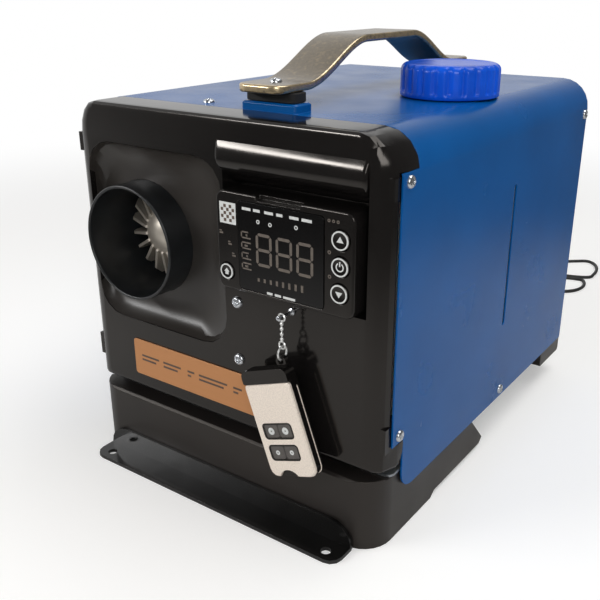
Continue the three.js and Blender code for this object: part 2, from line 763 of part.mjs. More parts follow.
function caseShell() {
  const outer = prism("y", arch(HALF, CASE_LOW, CASE_TOP, CORNER_ROUND), FLANGE_DEPTH + GAP, CASE_BACK);
  const inside = arch(INNER_HALF, CASE_LOW - 5, CASE_TOP - SHEET, CORNER_ROUND - SHEET);
  const seats = handleSeats().map(([front, back]) => {
    const outline = (inset) =>
      roundRect(HANDLE_X - SEAT_HALF + inset, HANDLE_X + SEAT_HALF - inset, front + inset, back - inset, 3);
    const top = CASE_TOP + PLINTH_RISE;
    return loft("z", [
      [outline(0), CASE_TOP - SHEET],
      [outline(0), top - 1],
      [outline(1), top],
    ]);
  });
  const lowRound = 13;
  const lowFront = FLANGE_LOW_DEPTH + GAP;
  const lowCorner = [
    new THREE.Vector2(0, FLANGE_LOW_TO + GAP),
    new THREE.Vector2(0, CASE_LOW - 10),
    new THREE.Vector2(lowFront + lowRound, CASE_LOW - 10),
    ...arc(lowFront + lowRound, CASE_LOW + lowRound, lowRound, lowRound, 270, 180, 5),
    new THREE.Vector2(lowFront, FLANGE_LOW_TO + GAP),
  ];
  const topFront = FLANGE_TOP_DEPTH + GAP;
  const levelSlot = roundRect(160.2, 164.2, 91, 191, 1.9);
  return carve(
    join(carve(outer, prism("y", inside, 0, CASE_BACK + 1)), ...seats),
    box(-HALF - 1, HALF + 1, 0, topFront, FLANGE_TOP_FROM - GAP, CASE_TOP + 5),
    prism("x", lowCorner, -HALF - 1, HALF + 1),
    prism("x", levelSlot, 100, HALF + 1),
    rod("z", CAP_X, CAP_Y, NECK.outer + GAP, CASE_TOP - 5, CASE_TOP + 1, NECK_SIDES),
    rod("z", TOP_SCREW.x, TOP_SCREW.y, SCREW_HOLE, CASE_TOP - 5, CASE_TOP + 1, SCREW_SIDES),
    ...handleScrewPlaces().map((y) => rod("z", HANDLE_X, y, SCREW_HOLE, CASE_TOP - 5, CASE_TOP + 9, SCREW_SIDES)),
    ...sideHoles(Object.values(SIDE_SCREWS)),
  );
}

function rearPanel() {
  const { front, plate, back, low, boxTop, boxBack } = REAR;
  const half = INNER_HALF - GAP;
  const high = CASE_TOP - SHEET - GAP;
  const round = CORNER_ROUND - SHEET - GAP;
  const outline = (inset) =>
    roundRect(-half + inset, half - inset, low + inset, high - inset, 3, round - inset, 5);
  const tray = carve(
    loft("y", [
      [outline(0), front],
      [outline(0), back - 1.2],
      [outline(1.2), back],
    ]),
    prism("y", outline(2.5), front - 1, plate),
  );
  const entry = [
    [plate, low],
    [boxBack - 0.8, low],
    [boxBack, low + 0.8],
    [boxBack, boxTop - 5],
    [back, boxTop],
    [plate, boxTop],
  ].map(([y, z]) => new THREE.Vector2(y, z));
  return carve(
    join(tray, prism("x", entry, -half + 1, half - 1)),
    rod("y", AXIS_X, AXIS_Z, GUARD_RADIUS + GAP, front, back + 1, 36),
    rod("y", GLAND.x, GLAND.z, 5 + GAP, front, boxBack + 1, 20),
    ...sideHoles([SIDE_SCREWS.rear_upper]),
  );
}

// Wire grille behind the fan: three rings on six spokes.
function intakeGuard() {
  const y = REAR.plate + 1.3;
  const wire = 0.9;
  const rings = [GUARD_RADIUS - wire, 27, 14].map((radius) =>
    wireRing("y", [AXIS_X, y, AXIS_Z], radius, wire, 18, 4),
  );
  const reach = GUARD_RADIUS - wire;
  const spokes = [0, 1, 2].map((i) =>
    rod("z", 0, 0, 0.8, -reach, reach, 4)
      .rotateY((Math.PI * i) / 3)
      .translate(AXIS_X, y, AXIS_Z),
  );
  return join(rings[0], ...rings.slice(1), ...spokes);
}

const PLATE = {
  low: REAR.low,
  thick: 1.6,
  front: 12,
  back: REAR.front - 2,
  half: INNER_HALF - 0.5,
  flangeFront: 152,
  flangeBack: 258,
};
const STAND = { half: 46, front: 60, back: 250, thick: 2 };
const FLUE_END_Y = 163;

// Bottom plate with folded side flanges and the bridge that the heater's casing stands on.
function bottomPlate() {
  const { low, thick, front, back, half, flangeFront, flangeBack } = PLATE;
  const top = low + thick;
  const plate = prism("z", roundRect(-half, half, front, back, 4, 4, 2), low, top);
  const flanges = [-1, 1].map((side) => {
    const [left, right] = side < 0 ? [-half, -half + SHEET] : [half - SHEET, half];
    return box(left, right, flangeFront, flangeBack, CASE_LOW + 1.5, top);
  });
  const [left, right] = [AXIS_X - STAND.half, AXIS_X + STAND.half];
  const bridgeTop = AXIS_Z - CASING.rise - GAP;
  const bridge = [
    [left, low + 0.5],
    [left + STAND.thick, low + 0.5],
    [left + STAND.thick, bridgeTop - STAND.thick],
    [right - STAND.thick, bridgeTop - STAND.thick],
    [right - STAND.thick, low + 0.5],
    [right, low + 0.5],
    [right, bridgeTop],
    [left, bridgeTop],
  ].map(([x, z]) => new THREE.Vector2(x, z));
  const midZ = (top + bridgeTop) / 2;
  return carve(
    join(plate, ...flanges, prism("y", bridge, STAND.front, STAND.back)),
    prism("z", roundRect(left + 10, right - 10, 88, 182, 8), bridgeTop - 6, bridgeTop + 2),
    prism("x", roundRect(88, 224, midZ - 18, midZ + 18, 8), left - 5, right + 5),
    rod("z", FLUE.x, FLUE_END_Y, FLUE.radius + 1, low - 2, top + 2, 24),
    rod("z", INLET.x, INLET.y, INLET.radius + 1, low - 2, top + 2, 24),
    ...sideHoles([SIDE_SCREWS.lower_middle]),
  );
}

// Base: a deep nose under the panel, a lower body under the case with a slanted end, hollow from below.
const BASE = { noseBack: 9.5, top: 46, restBack: 68, back: 147, slantTop: 126, raise: 3.5, round: 20, wall: 3 };
function baseHousing() {
  const { noseBack, top, restBack, back, slantTop, raise, round, wall } = BASE;
  const side = [
    [BASE_FRONT, 0],
    [restBack, 0],
    [restBack + 5, raise],
    [back - 4, raise],
    [back, raise + 4],
    [slantTop, 30],
    [slantTop, top],
    [noseBack, top],
    [noseBack, BASE_TOP],
    [BASE_FRONT + 1.5, BASE_TOP],
    [BASE_FRONT, BASE_TOP - 1.5],
  ].map(([y, z]) => new THREE.Vector2(y, z));
  const plan = [
    ...arc(BASE_HALF - round, BASE_FRONT + round, round, round, -90, 0, 7),
    new THREE.Vector2(BASE_HALF, back + 5),
    new THREE.Vector2(-BASE_HALF, back + 5),
    ...arc(-BASE_HALF + round, BASE_FRONT + round, round, round, 180, 270, 7),
  ];
  const body = common(prism("x", side, -BASE_HALF - 1, BASE_HALF + 1), prism("z", plan, -1, BASE_TOP + 1));
  const cell = (left, right, front, rear) => {
    const outline = (inset) => roundRect(left + inset, right - inset, front + inset, rear - inset, 6);
    return loft("z", [
      [outline(0), -1],
      [outline(2), top - wall],
    ]);
  };
  const cells = [];
  const columns = 3;
  const span = (2 * BASE_HALF - wall) / columns;
  for (let i = 0; i < columns; i++) {
    const left = -BASE_HALF + wall + i * span;
    cells.push(cell(left, left + span - wall, 6, restBack - wall));
    cells.push(cell(left, left + span - wall, restBack + 6, slantTop - wall));
  }
  return carve(body, ...cells);
}

function mountingBracket() {
  const half = 103;
  const thick = 2.5;
  const back = BASE_FRONT - GAP;
  const flange = prism("z", roundRect(-half, half, -23.9, back, [8, 8], 1.5), 0, thick);
  const leg = prism("y", roundRect(-half, half, 0, 17, 1.5, [16, 14], 5), back - thick, back);
  const holes = [-92.2, 92.2].map((x) => rod("z", x, -16.6, 3.2, -1, thick + 1, 20));
  return carve(join(flange, leg), ...holes);
}

// Rear foot: a full-width beam under the case, with a narrower keel down to the floor.
function rearFoot() {
  const beam = [
    [260, 18.5],
    [262, 17],
    [301, 17],
    [303, 19],
    [303, 40],
    [299.5, 46],
    [260, 46],
  ].map(([y, z]) => new THREE.Vector2(y, z));
  const keel = loft("z", [
    [roundRect(-85, 85, 267, 297, 5), 0],
    [roundRect(-88, 88, 263, 300, 6), 18],
  ]);
  const cells = [-1, 0, 1].map((i) => prism("z", roundRect(i * 54 - 24, i * 54 + 24, 271, 293, 5), -1, 40));
  return carve(join(prism("x", beam, -BASE_HALF, BASE_HALF), keel), ...cells);
}

// Handle: a flat strap that rises in an S from each tab to the grip.
function strapTop(y) {
  const reach = Math.min(y - HANDLE_FRONT, HANDLE_BACK - y) - HANDLE_TAB_LENGTH;
  const rise = THREE.MathUtils.smoothstep(reach, 0, HANDLE_RAMP_LENGTH);
  return CASE_TOP + mix(HANDLE_TAB_RISE, HANDLE_RISE, rise);
}

function strapOutline(inset) {
  const ramp = [0, 0.1, 0.21, 0.35, 0.5, 0.65, 0.79, 0.9, 1].map((s) => HANDLE_TAB_LENGTH + s * HANDLE_RAMP_LENGTH);
  const steps = [0, ...ramp];
  const length = HANDLE_BACK - HANDLE_FRONT;
  const runs = [...steps, ...steps.map((s) => length - s).reverse()];
  const sides = { top: [], under: [] };
  for (const run of runs) {
    const y = HANDLE_FRONT + inset + (run * (length - 2 * inset)) / length;
    const slope = strapTop(y + 0.5) - strapTop(y - 0.5);
    const normal = new THREE.Vector2(-slope, 1).normalize();
    const spot = new THREE.Vector2(y, strapTop(y));
    sides.top.push(spot.clone().addScaledVector(normal, -inset));
    sides.under.push(spot.clone().addScaledVector(normal, inset - HANDLE_THICK));
  }
  return [...sides.under, ...sides.top.reverse()];
}

function carryHandle() {
  const half = HANDLE_WIDTH / 2;
  const bevel = 0.9;
  const strap = loft("x", [
    [strapOutline(bevel), HANDLE_X - half],
    [strapOutline(0), HANDLE_X - half + bevel],
    [strapOutline(0), HANDLE_X + half - bevel],
    [strapOutline(bevel), HANDLE_X + half],
  ]);
  const plan = roundRect(HANDLE_X - half - 1, HANDLE_X + half + 1, HANDLE_FRONT, HANDLE_BACK, 9);
  const holes = handleScrewPlaces().map((y) => rod("z", HANDLE_X, y, SCREW_HOLE, CASE_TOP, CASE_TOP + 30, SCREW_SIDES));
  return carve(common(strap, prism("z", plan, CASE_TOP, CASE_TOP + 60)), ...holes);
}

function handleParts() {
  piece("carry_handle", BRONZE, carryHandle());
  const names = ["front", "rear"];
  const low = CASE_TOP + PLINTH_RISE + GAP;
  const high = CASE_TOP + HANDLE_TAB_RISE - HANDLE_THICK - GAP;
  handleSeats().forEach(([front, back], i) => {
    const outline = roundRect(HANDLE_X - SEAT_HALF + 2, HANDLE_X + SEAT_HALF - 2, front + 1.5, back - 1.5, 4);
    const y = handleScrewPlaces()[i];
    const pad = carve(prism("z", outline, low, high), rod("z", HANDLE_X, y, SCREW_HOLE, low - 1, high + 1, SCREW_SIDES));
    piece("handle_pad_" + names[i], RUBBER, pad);
    const face = strapTop(y);
    const length = face - (CASE_TOP - 4);
    piece("handle_screw_" + names[i], STEEL, panScrew("z", HANDLE_X, y, face, -1, 3.6, SCREW_SHANK, length));
  });
}

function caseScrews() {
  for (const [place, [y, z]] of Object.entries(SIDE_SCREWS)) {
    piece("case_screw_right_" + place, STEEL, panScrew("x", y, z, HALF, -1, 3.6, SCREW_SHANK, 7));
    piece("case_screw_left_" + place, STEEL, panScrew("x", y, z, -HALF, 1, 3.6, SCREW_SHANK, 7));
  }
  const top = panScrew("z", TOP_SCREW.x, TOP_SCREW.y, CASE_TOP, -1, 3.6, SCREW_SHANK, 7);
  piece("case_screw_top", STEEL, top);
}

function caseParts() {
  piece("case_shell", BLUE_PAINT, caseShell());
  piece("rear_panel", SATIN_BLACK, rearPanel());
  piece("intake_guard", STEEL, intakeGuard());
  piece("bottom_plate", STEEL, bottomPlate());
  piece("base_housing", SATIN_BLACK, baseHousing());
  piece("mounting_bracket", SATIN_BLACK, mountingBracket());
  piece("rear_foot", SATIN_BLACK, rearFoot());
  handleParts();
  caseScrews();
}

// Fuel side: tank with its neck, filler cap and gasket, pump, hose and flue.
const TANK = { left: -14, right: 117.3, front: 30, back: 281, low: 48.2, high: 230, round: 16, wall: 3 };
function fuelTank() {
  const { left, right, front, back, low, high, round, wall } = TANK;
  const outline = (inset) => roundRect(left + inset, right - inset, front + inset, back - inset, round - inset);
  const shell = loft("z", [
    [outline(6), low],
    [outline(1.8), low + 1.8],
    [outline(0), low + 6],
    [outline(0), high - 6],
    [outline(1.8), high - 1.8],
    [outline(6), high],
  ]);
  const neckTop = CASE_TOP + NECK.rise;
  const neck = rod("z", CAP_X, CAP_Y, NECK.outer, high - 2, neckTop, NECK_SIDES);
  const outlet = rod("x", 258, 62, 3, left - 9, left + 1, 10);
  return carve(
    join(shell, neck, outlet),
    loft("z", [
      [outline(wall + 4), low + wall],
      [outline(wall), low + wall + 4],
      [outline(wall), high - wall - 4],
      [outline(wall + 4), high - wall],
    ]),
    rod("z", CAP_X, CAP_Y, NECK.inner, high - 10, neckTop + 1, NECK_SIDES),
  );
}

const CAP_LOW = CASE_TOP + 3.3;
const FLUTES = 28;
function flutedCircle(radius, depth) {
  const wave = [0, 0.9, 0.9];
  return Array.from({ length: FLUTES * wave.length }, (_, i) => {
    const angle = (2 * Math.PI * i) / (FLUTES * wave.length);
    const reach = radius - depth * wave[i % wave.length];
    return new THREE.Vector2(CAP_X + reach * Math.cos(angle), CAP_Y + reach * Math.sin(angle));
  });
}

function fuelCap() {
  const body = loft("z", [
    [flutedCircle(CAP_RADIUS, 1.1), CAP_LOW],
    [flutedCircle(CAP_RADIUS, 1.1), CAP_LOW + 11.5],
    [flutedCircle(CAP_RADIUS - 1.6, 0.4), CAP_LOW + 14],
    [flutedCircle(CAP_RADIUS - 5, 0), CAP_LOW + 17.2],
    [flutedCircle(CAP_RADIUS - 8, 0), CAP_LOW + CAP_HEIGHT],
  ]);
  const roof = CASE_TOP + NECK.rise + GAP;
  const hollow = rod("z", CAP_X, CAP_Y, NECK.outer + GAP, CAP_LOW - 1, roof, NECK_SIDES);
  return carve(body, hollow);
}

const PUMP = { x: -95, z: 61.8, front: 185, back: 250, radius: 13 };
function fuelPump() {
  const { front, back, radius } = PUMP;
  const profile = [
    [0, front - 6],
    [2.5, front - 6],
    [2.5, front],
    [8, front + 1],
    [9, front + 8],
    [radius, front + 10],
    [radius, back - 10],
    [9, back - 8],
    [8, back - 1],
    [2.5, back],
    [2.5, back + 6],
    [0, back + 6],
  ];
  return turned("y", PUMP.x, PUMP.z, profile, 16);
}

function fuelHose() {
  const top = 100 - GAP;
  const route = [
    [PUMP.x, PUMP.front - 6 - GAP, PUMP.z],
    [PUMP.x, PUMP.front - 10, PUMP.z],
    [PUMP.x - 2, PUMP.front - 17, PUMP.z + 3],
    [PUMP.x - 3, PUMP.front - 26, PUMP.z + 12],
    [PUMP.x, FUEL_INLET.y + 9, top - 16],
    [FUEL_INLET.x - 1, FUEL_INLET.y + 1, top - 7],
    [FUEL_INLET.x, FUEL_INLET.y, top - 3],
    [FUEL_INLET.x, FUEL_INLET.y, top],
  ];
  return pipe(route, 2.5, 8, 16);
}

function exhaustPipe() {
  const top = AXIS_Z - CASING.rise + CASING.wall + 1 - GAP;
  const route = [
    [FLUE.x, FLUE.y, top],
    [FLUE.x, FLUE.y, top - 10],
    [FLUE.x, FLUE.y + 2, top - 20],
    [FLUE.x, (FLUE.y + FLUE_END_Y) / 2, top - 32],
    [FLUE.x, FLUE_END_Y - 2, top - 44],
    [FLUE.x, FLUE_END_Y, top - 56],
    [FLUE.x, FLUE_END_Y, 30],
    [FLUE.x, FLUE_END_Y, 8],
  ];
  return pipe(route, FLUE.radius, 10, 9, FLUE.bore);
}

function fuelSide() {
  piece("fuel_tank", TANK_WHITE, fuelTank());
  const gasketTop = CAP_LOW - GAP;
  const gasket = ring("z", CAP_X, CAP_Y, NECK.outer + GAP, CAP_RADIUS - 2, CASE_TOP + GAP, gasketTop, NECK_SIDES);
  piece("cap_gasket", RUBBER, gasket);
  piece("fuel_cap", CAP_BLUE, fuelCap());
  piece("fuel_pump", STEEL, fuelPump());
  piece("fuel_hose", RUBBER, fuelHose());
  piece("exhaust_pipe", STEEL, exhaustPipe());
}

// Key fob, hanging by a ring and a short bead chain from a pin in the panel.
const FOB = { half: 17.5, low: -29.3, high: 29.3, capTop: 38, faceThick: 2.1 };
const LUG = { u: 13.3, v: 41, radius: 3.6, hole: 2, half: 1.5 };
const FOB_MIDDLE = (FOB_FACE + FOB_BACK) / 2;
const RING_RADIUS = 4;
const RING_WIRE = 0.7;
const EYE_RADIUS = 2.2;
const EYE_WIRE = 0.6;
const KEY_TRAVEL = 0.4;
const WINDOWS = { u: -1.5, v: [0, -13.7], width: 22, height: 9.6 };

function hang(geometry) {
  return geometry.rotateY(-FOB_TILT).translate(FOB_X, 0, FOB_Z);
}

function lugPlace() {
  const u = LUG.u * Math.cos(FOB_TILT) - LUG.v * Math.sin(FOB_TILT);
  const v = LUG.u * Math.sin(FOB_TILT) + LUG.v * Math.cos(FOB_TILT);
  return { x: FOB_X + u, z: FOB_Z + v };
}

function remoteBody() {
  const { half, low, high, capTop, faceThick } = FOB;
  const split = FOB_FACE + faceThick + GAP;
  const back = loft("y", [
    [roundRect(-half, half, low, capTop, 5), split],
    [roundRect(-half, half, low, capTop, 5), FOB_BACK - 2],
    [roundRect(-half + 2, half - 2, low + 2, capTop - 2, 4), FOB_BACK],
  ]);
  const cap = prism("y", roundRect(-half, half, high + GAP, capTop, 1, 4), FOB_FACE, FOB_BACK - 2);
  const lug = prism("y", circle(LUG.u, LUG.v, LUG.radius, 16), FOB_MIDDLE - LUG.half, FOB_MIDDLE + LUG.half);
  const neck = box(LUG.u - 3, LUG.u + 3, FOB_MIDDLE - LUG.half, FOB_MIDDLE + LUG.half, capTop - 5, LUG.v);
  const body = join(back, cap, lug, neck);
  const hole = rod("y", LUG.u, LUG.v, LUG.hole, FOB_FACE, FOB_BACK, 14);
  return hang(carve(body, hole));
}

function remoteFace() {
  const { half, low, high, faceThick } = FOB;
  const outline = (inset) => roundRect(-half + inset, half - inset, low + inset, high - inset, 5, 2);
  const plate = loft("y", [
    [outline(0.7), FOB_FACE],
    [outline(0), FOB_FACE + 0.7],
    [outline(0), FOB_FACE + faceThick],
  ]);
  const openings = WINDOWS.v.map((v) => {
    const { u, width, height } = WINDOWS;
    const outlineOf = roundRect(u - width / 2, u + width / 2, v - height / 2, v + height / 2, 1.5);
    return prism("y", outlineOf, FOB_FACE - 1, FOB_FACE + 3);
  });
  const notch = rod("y", -3.5, low - 4, 8.5, FOB_FACE - 1, FOB_FACE + 3, 28);
  return hang(carve(plate, notch, ...openings));
}

function remoteButton(u, v) {
  const width = (WINDOWS.width - 3 * GAP) / 2;
  const half = WINDOWS.height / 2 - GAP;
  const outline = (inset) =>
    roundRect(u - width / 2 + inset, u + width / 2 - inset, v - half + inset, v + half - inset, 1.5 - inset);
  return hang(
    loft("y", [
      [outline(0.5), FOB_FACE + 0.2],
      [outline(0), FOB_FACE + 0.6],
      [outline(0), FOB_FACE + FOB.faceThick + GAP - KEY_TRAVEL - 0.1],
    ]),
  );
}

function chainHook() {
  const profile = [
    [0, 5],
    [HOOK_WIRE, 5],
    [HOOK_WIRE, -GAP],
    [2.2, -GAP],
    [2.2, -1.3],
    [HOOK_WIRE, -2],
    [HOOK_WIRE, FOB_MIDDLE - 2],
    [1.4, FOB_MIDDLE - 2.6],
    [1.4, FOB_MIDDLE - 3.4],
    [0, FOB_MIDDLE - 4.2],
  ];
  return turned("y", HOOK_X, HOOK_Z, profile, 10);
}

// The ring's lower wire lies in the lug's hole, and the chain's lower eye holds the ring's upper wire.
function chainAndRing() {
  const lug = lugPlace();
  const ringZ = lug.z + LUG.hole - RING_WIRE - GAP + RING_RADIUS;
  const ringTop = ringZ + RING_RADIUS;
  const lowEye = ringTop - RING_WIRE - GAP - EYE_WIRE + EYE_RADIUS;
  const highEye = HOOK_Z + HOOK_WIRE + GAP + EYE_WIRE - EYE_RADIUS;
  const beads = 4;
  const from = lowEye + EYE_RADIUS;
  const pitch = (highEye - EYE_RADIUS - from) / beads;
  const profile = [[0, from]];
  for (let i = 0; i < beads; i++) {
    const middle = from + (i + 0.5) * pitch;
    profile.push([0.5, middle - 1.1], [1.15, middle - 0.55], [1.15, middle + 0.55], [0.5, middle + 1.1]);
  }
  profile.push([0, highEye - EYE_RADIUS]);
  const chain = join(
    wireRing("y", [HOOK_X, FOB_MIDDLE, lowEye], EYE_RADIUS, EYE_WIRE, 10, 4),
    wireRing("y", [HOOK_X, FOB_MIDDLE, highEye], EYE_RADIUS, EYE_WIRE, 10, 4),
    turned("z", HOOK_X, FOB_MIDDLE, profile, 6),
  );
  piece("key_chain", STEEL, chain);
  piece("key_ring", STEEL, wireRing("x", [lug.x, FOB_MIDDLE, ringZ], RING_RADIUS, RING_WIRE, 16, 4));
}

function keyFob() {
  piece("chain_hook", STEEL, chainHook());
  chainAndRing();
  piece("remote_body", SATIN_BLACK, remoteBody());
  piece("remote_face", SILVER, remoteFace());
  const step = (WINDOWS.width - 3 * GAP) / 4 + GAP / 2;
  const names = ["upper_left", "upper_right", "lower_left", "lower_right"];
  names.forEach((name, i) => {
    const u = WINDOWS.u + (i % 2 === 0 ? -step : step);
    piece("remote_button_" + name, KEY_WHITE, remoteButton(u, WINDOWS.v[i < 2 ? 0 : 1]));
  });
}

// Power lead: from the gland down to the floor, two loose bends beside the case, then a coil behind it.
const CORD_RADIUS = 1.75;
const CORD_EXIT_Y = 322.3;
const COIL = { x: -45, y: 440, outer: 25, inner: 12, turns: 6.5, rise: 4, steps: 24 };
const COIL_TAIL = [
  [-20, 450, 5.6],
  [-19, 459, 5],
  [-18, 466, 4.8],
  [-18, 470, 4.8],
];

function cordRoute() {
  const floor = CORD_RADIUS;
  const down = [
    [GLAND.x, CORD_EXIT_Y + GAP, GLAND.z],
    [GLAND.x, CORD_EXIT_Y + 7, GLAND.z],
    [GLAND.x + 0.5, CORD_EXIT_Y + 17, 54.5],
    [GLAND.x + 2, CORD_EXIT_Y + 25, 42],
    [GLAND.x + 3, CORD_EXIT_Y + 30, 26],
    [GLAND.x + 4, CORD_EXIT_Y + 35, 12],
    [GLAND.x + 6, CORD_EXIT_Y + 43, 5.8],
    [GLAND.x + 8, CORD_EXIT_Y + 54, 3.2],
    [GLAND.x + 10, CORD_EXIT_Y + 72, 2.2],
    [GLAND.x + 10, CORD_EXIT_Y + 90, 1.85],
  ];
  const lying = [
    [30, 430],
    [31, 447],
    [37, 466],
    [51, 478],
    [64, 485.5],
    [72.3, 497],
    [74.5, 511.8],
    [71, 525.5],
    [62, 531.5],
    [28, 520],
    [10, 510],
    [-6, 508],
    [-16, 516],
    [-14, 528],
    [0, 534],
    [20, 534.5],
    [44, 534],
    [69, 543.5],
    [72, 557],
    [69.5, 577],
    [62, 593],
    [51, 600],
    [38, 591],
    [20, 577],
    [-8, 569],
    [-38, 560],
    [-61, 536],
    [-69, 500],
    [-70, 472],
    [COIL.x - COIL.outer, COIL.y + 8],
    [COIL.x - COIL.outer, COIL.y + GAP],
  ].map(([x, y]) => [x, y, floor]);
  return [...down, ...lying];
}

// Two layers of turns: in on the floor, up a layer in the half turn that reverses, and out again on top.
function coilRoute() {
  const { x, y, outer, inner, turns, rise, steps } = COIL;
  const points = [];
  for (let i = 0; i <= turns * steps; i++) {
    const turn = i / steps;
    const radius = mix(inner, outer, Math.abs(turn - turns / 2) / (turns / 2));
    const lift = THREE.MathUtils.smoothstep(turn, turns / 2 - 0.25, turns / 2 + 0.25);
    const angle = Math.PI + 2 * Math.PI * turn;
    points.push([x + radius * Math.cos(angle), y + radius * Math.sin(angle), CORD_RADIUS + rise * lift]);
  }
  return [...points, ...COIL_TAIL];
}

// The least clear distance between stretches of a route that lie more than apart steps from each other.
function leastGap(points, apart) {
  let least = Infinity;
  for (let i = 0; i < points.length; i++) {
    for (let j = i + apart; j < points.length; j++) {
      least = Math.min(least, Math.hypot(...points[i].map((value, k) => value - points[j][k])));
    }
  }
  return least - 2 * CORD_RADIUS;
}

function routeLength(points) {
  const curve = new THREE.CatmullRomCurve3(points.map((p) => new THREE.Vector3(...p)));
  curve.arcLengthDivisions = 20 * points.length;
  return curve.getLength();
}

function cableGland() {
  const profile = [
    [0, 290],
    [5, 290],
    [5, REAR.boxBack + GAP],
    [8, REAR.boxBack + GAP],
    [8, 305],
    [6.5, 307.5],
    [4.6, 308.5],
    [2.7, CORD_EXIT_Y],
    [0, CORD_EXIT_Y],
  ];
  return turned("y", GLAND.x, GLAND.z, profile, 16);
}

// Two-pole plug-in connector with a latch, lying beside the coil.
function powerConnector() {
  const [x, y, z] = COIL_TAIL.at(-1);
  const front = y + GAP;
  const body = prism("y", roundRect(x - 8, x + 8, z - 4.6, z + 4.6, 1.2, undefined, 2), front + 6, front + 28);
  const collar = turned(
    "y",
    x,
    z,
    [
      [0, front],
      [2.6, front],
      [4.2, front + 7],
      [0, front + 7],
    ],
    16,
  );
  const sockets = [-4, 4].map((side) =>
    prism("y", roundRect(x + side - 2.6, x + side + 2.6, z - 2.6, z + 2.6, 0.5, undefined, 1), front + 18, front + 30),
  );
  const latch = box(x - 2.5, x + 2.5, front + 12, front + 26, z + 4.4, z + 6.2);
  return carve(join(body, collar, latch), ...sockets);
}

function powerLead() {
  piece("cable_gland", SATIN_BLACK, cableGland());
  piece("power_cord", RUBBER, pipe(cordRoute(), CORD_RADIUS, 8, 70));
  const coil = coilRoute();
  piece("cord_coil", RUBBER, pipe(coil, CORD_RADIUS, 6, coil.length - 1));
  piece("power_connector", SATIN_BLACK, powerConnector());
  const lengths = [cordRoute(), coil].map(routeLength);
  console.log("cord lengths in mm:", lengths.map((l) => l.toFixed(0)).join(" + "));
  console.log("least gap in the coil:", leastGap(coil, COIL.steps / 2).toFixed(2), "mm");
}

controller();
caseParts();
warmAirSide();
fuelSide();
keyFob();

// The part's origin is the bottom centre of the heater without its lead.
const extent = new THREE.Box3().setFromObject(part);
const centre = extent.getCenter(new THREE.Vector3());
powerLead();
part.position.set(-centre.x, -centre.y, -extent.min.z);
console.log("shift in mm:", part.position.toArray().map((value) => value.toFixed(3)).join(" "));

export default part;
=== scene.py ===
"""Diesel air heater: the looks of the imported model, its studio and its camera.

Lengths in the tables below are millimetres in the part's own frame: x to the right, y to the back, z up.
"""

import json
import math

import bmesh
import bpy
import numpy as np
from bpy.props import FloatProperty, PointerProperty, StringProperty
from mathutils import Matrix, Vector


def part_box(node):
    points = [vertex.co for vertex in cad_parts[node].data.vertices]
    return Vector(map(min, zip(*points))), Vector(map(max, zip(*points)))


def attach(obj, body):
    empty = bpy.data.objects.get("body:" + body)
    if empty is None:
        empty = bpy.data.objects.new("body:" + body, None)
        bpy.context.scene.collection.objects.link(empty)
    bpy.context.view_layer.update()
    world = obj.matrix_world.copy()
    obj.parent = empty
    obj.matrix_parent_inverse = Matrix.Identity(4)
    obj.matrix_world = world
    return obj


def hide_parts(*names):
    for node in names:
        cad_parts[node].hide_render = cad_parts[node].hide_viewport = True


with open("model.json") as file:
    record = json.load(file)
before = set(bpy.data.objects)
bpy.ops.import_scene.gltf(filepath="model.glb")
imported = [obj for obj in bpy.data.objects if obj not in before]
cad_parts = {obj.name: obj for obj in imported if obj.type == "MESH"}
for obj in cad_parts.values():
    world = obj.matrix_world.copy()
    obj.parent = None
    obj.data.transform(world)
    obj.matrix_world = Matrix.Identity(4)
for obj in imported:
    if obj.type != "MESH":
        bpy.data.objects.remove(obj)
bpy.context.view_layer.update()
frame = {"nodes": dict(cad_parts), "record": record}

bl_info = {
    "name": "Diesel air heater",
    "version": (1, 0, 0),
    "blender": (4, 5, 0),
    "location": "View3D > Sidebar > Air heater",
    "description": "Dresses the packed air heater and sets its studio and camera",
    "category": "Object",
}

MM = 0.001
# The front panel's plane, and the faces of the controller's window and housing and of the fob before it.
PANEL_Y = -139.55
WINDOW_Y = PANEL_Y - 7.2
HOUSING_Y = PANEL_Y - 7.0
FOB_Y = PANEL_Y - 15.3
# The middle of the fob on that plane, and its lean.
FOB_PLACE = (58.5, 71.0)
FOB_TILT = math.radians(20)
CORD_RADIUS = 1.75
# The body of each CAD node.
BODY_OF = {node: body for body, nodes in frame["record"]["behaviour"]["bodies"].items() for node in nodes}


# Nodes and materials


def linear(hex_colour):
    """An sRGB hex value as linear red, green, blue and alpha."""
    values = np.array([int(hex_colour[i:i + 2], 16) for i in (0, 2, 4)]) / 255.0
    lin = np.where(values <= 0.04045, values / 12.92, ((values + 0.055) / 1.055) ** 2.4)
    return (*lin.tolist(), 1.0)


def cleared(owner):
    """The emptied node tree of a material or world."""
    owner.use_nodes = True
    owner.node_tree.nodes.clear()
    return owner.node_tree


def add_node(tree, kind, settings=None, inputs=None):
    """Adds a shader node, sets its properties, and links or fills its inputs."""
    node = tree.nodes.new("ShaderNode" + kind)
    for key, value in (settings or {}).items():
        setattr(node, key, value)
    for key, value in (inputs or {}).items():
        socket = node.inputs[key]
        if isinstance(value, bpy.types.NodeSocket):
            tree.links.new(value, socket)
        else:
            socket.default_value = value
    return node


def noise(tree, vector, scale, detail):
    """Noise over a vector in metres."""
    inputs = {"Vector": vector, "Scale": scale, "Detail": detail}
    return add_node(tree, "TexNoise", inputs=inputs).outputs["Fac"]


def mapped(tree, value, start, end, low=0.0, high=1.0, kind="LINEAR"):
    """Carries a value's range from start to end over to low to high."""
    limits = {"From Min": start, "From Max": end, "To Min": low, "To Max": high}
    node = add_node(tree, "MapRange", {"interpolation_type": kind}, {"Value": value, **limits})
    return node.outputs["Result"]


def maths(tree, operation, first, second):
    """One sum of two values."""
    return add_node(tree, "Math", {"operation": operation}, {0: first, 1: second}).outputs["Value"]


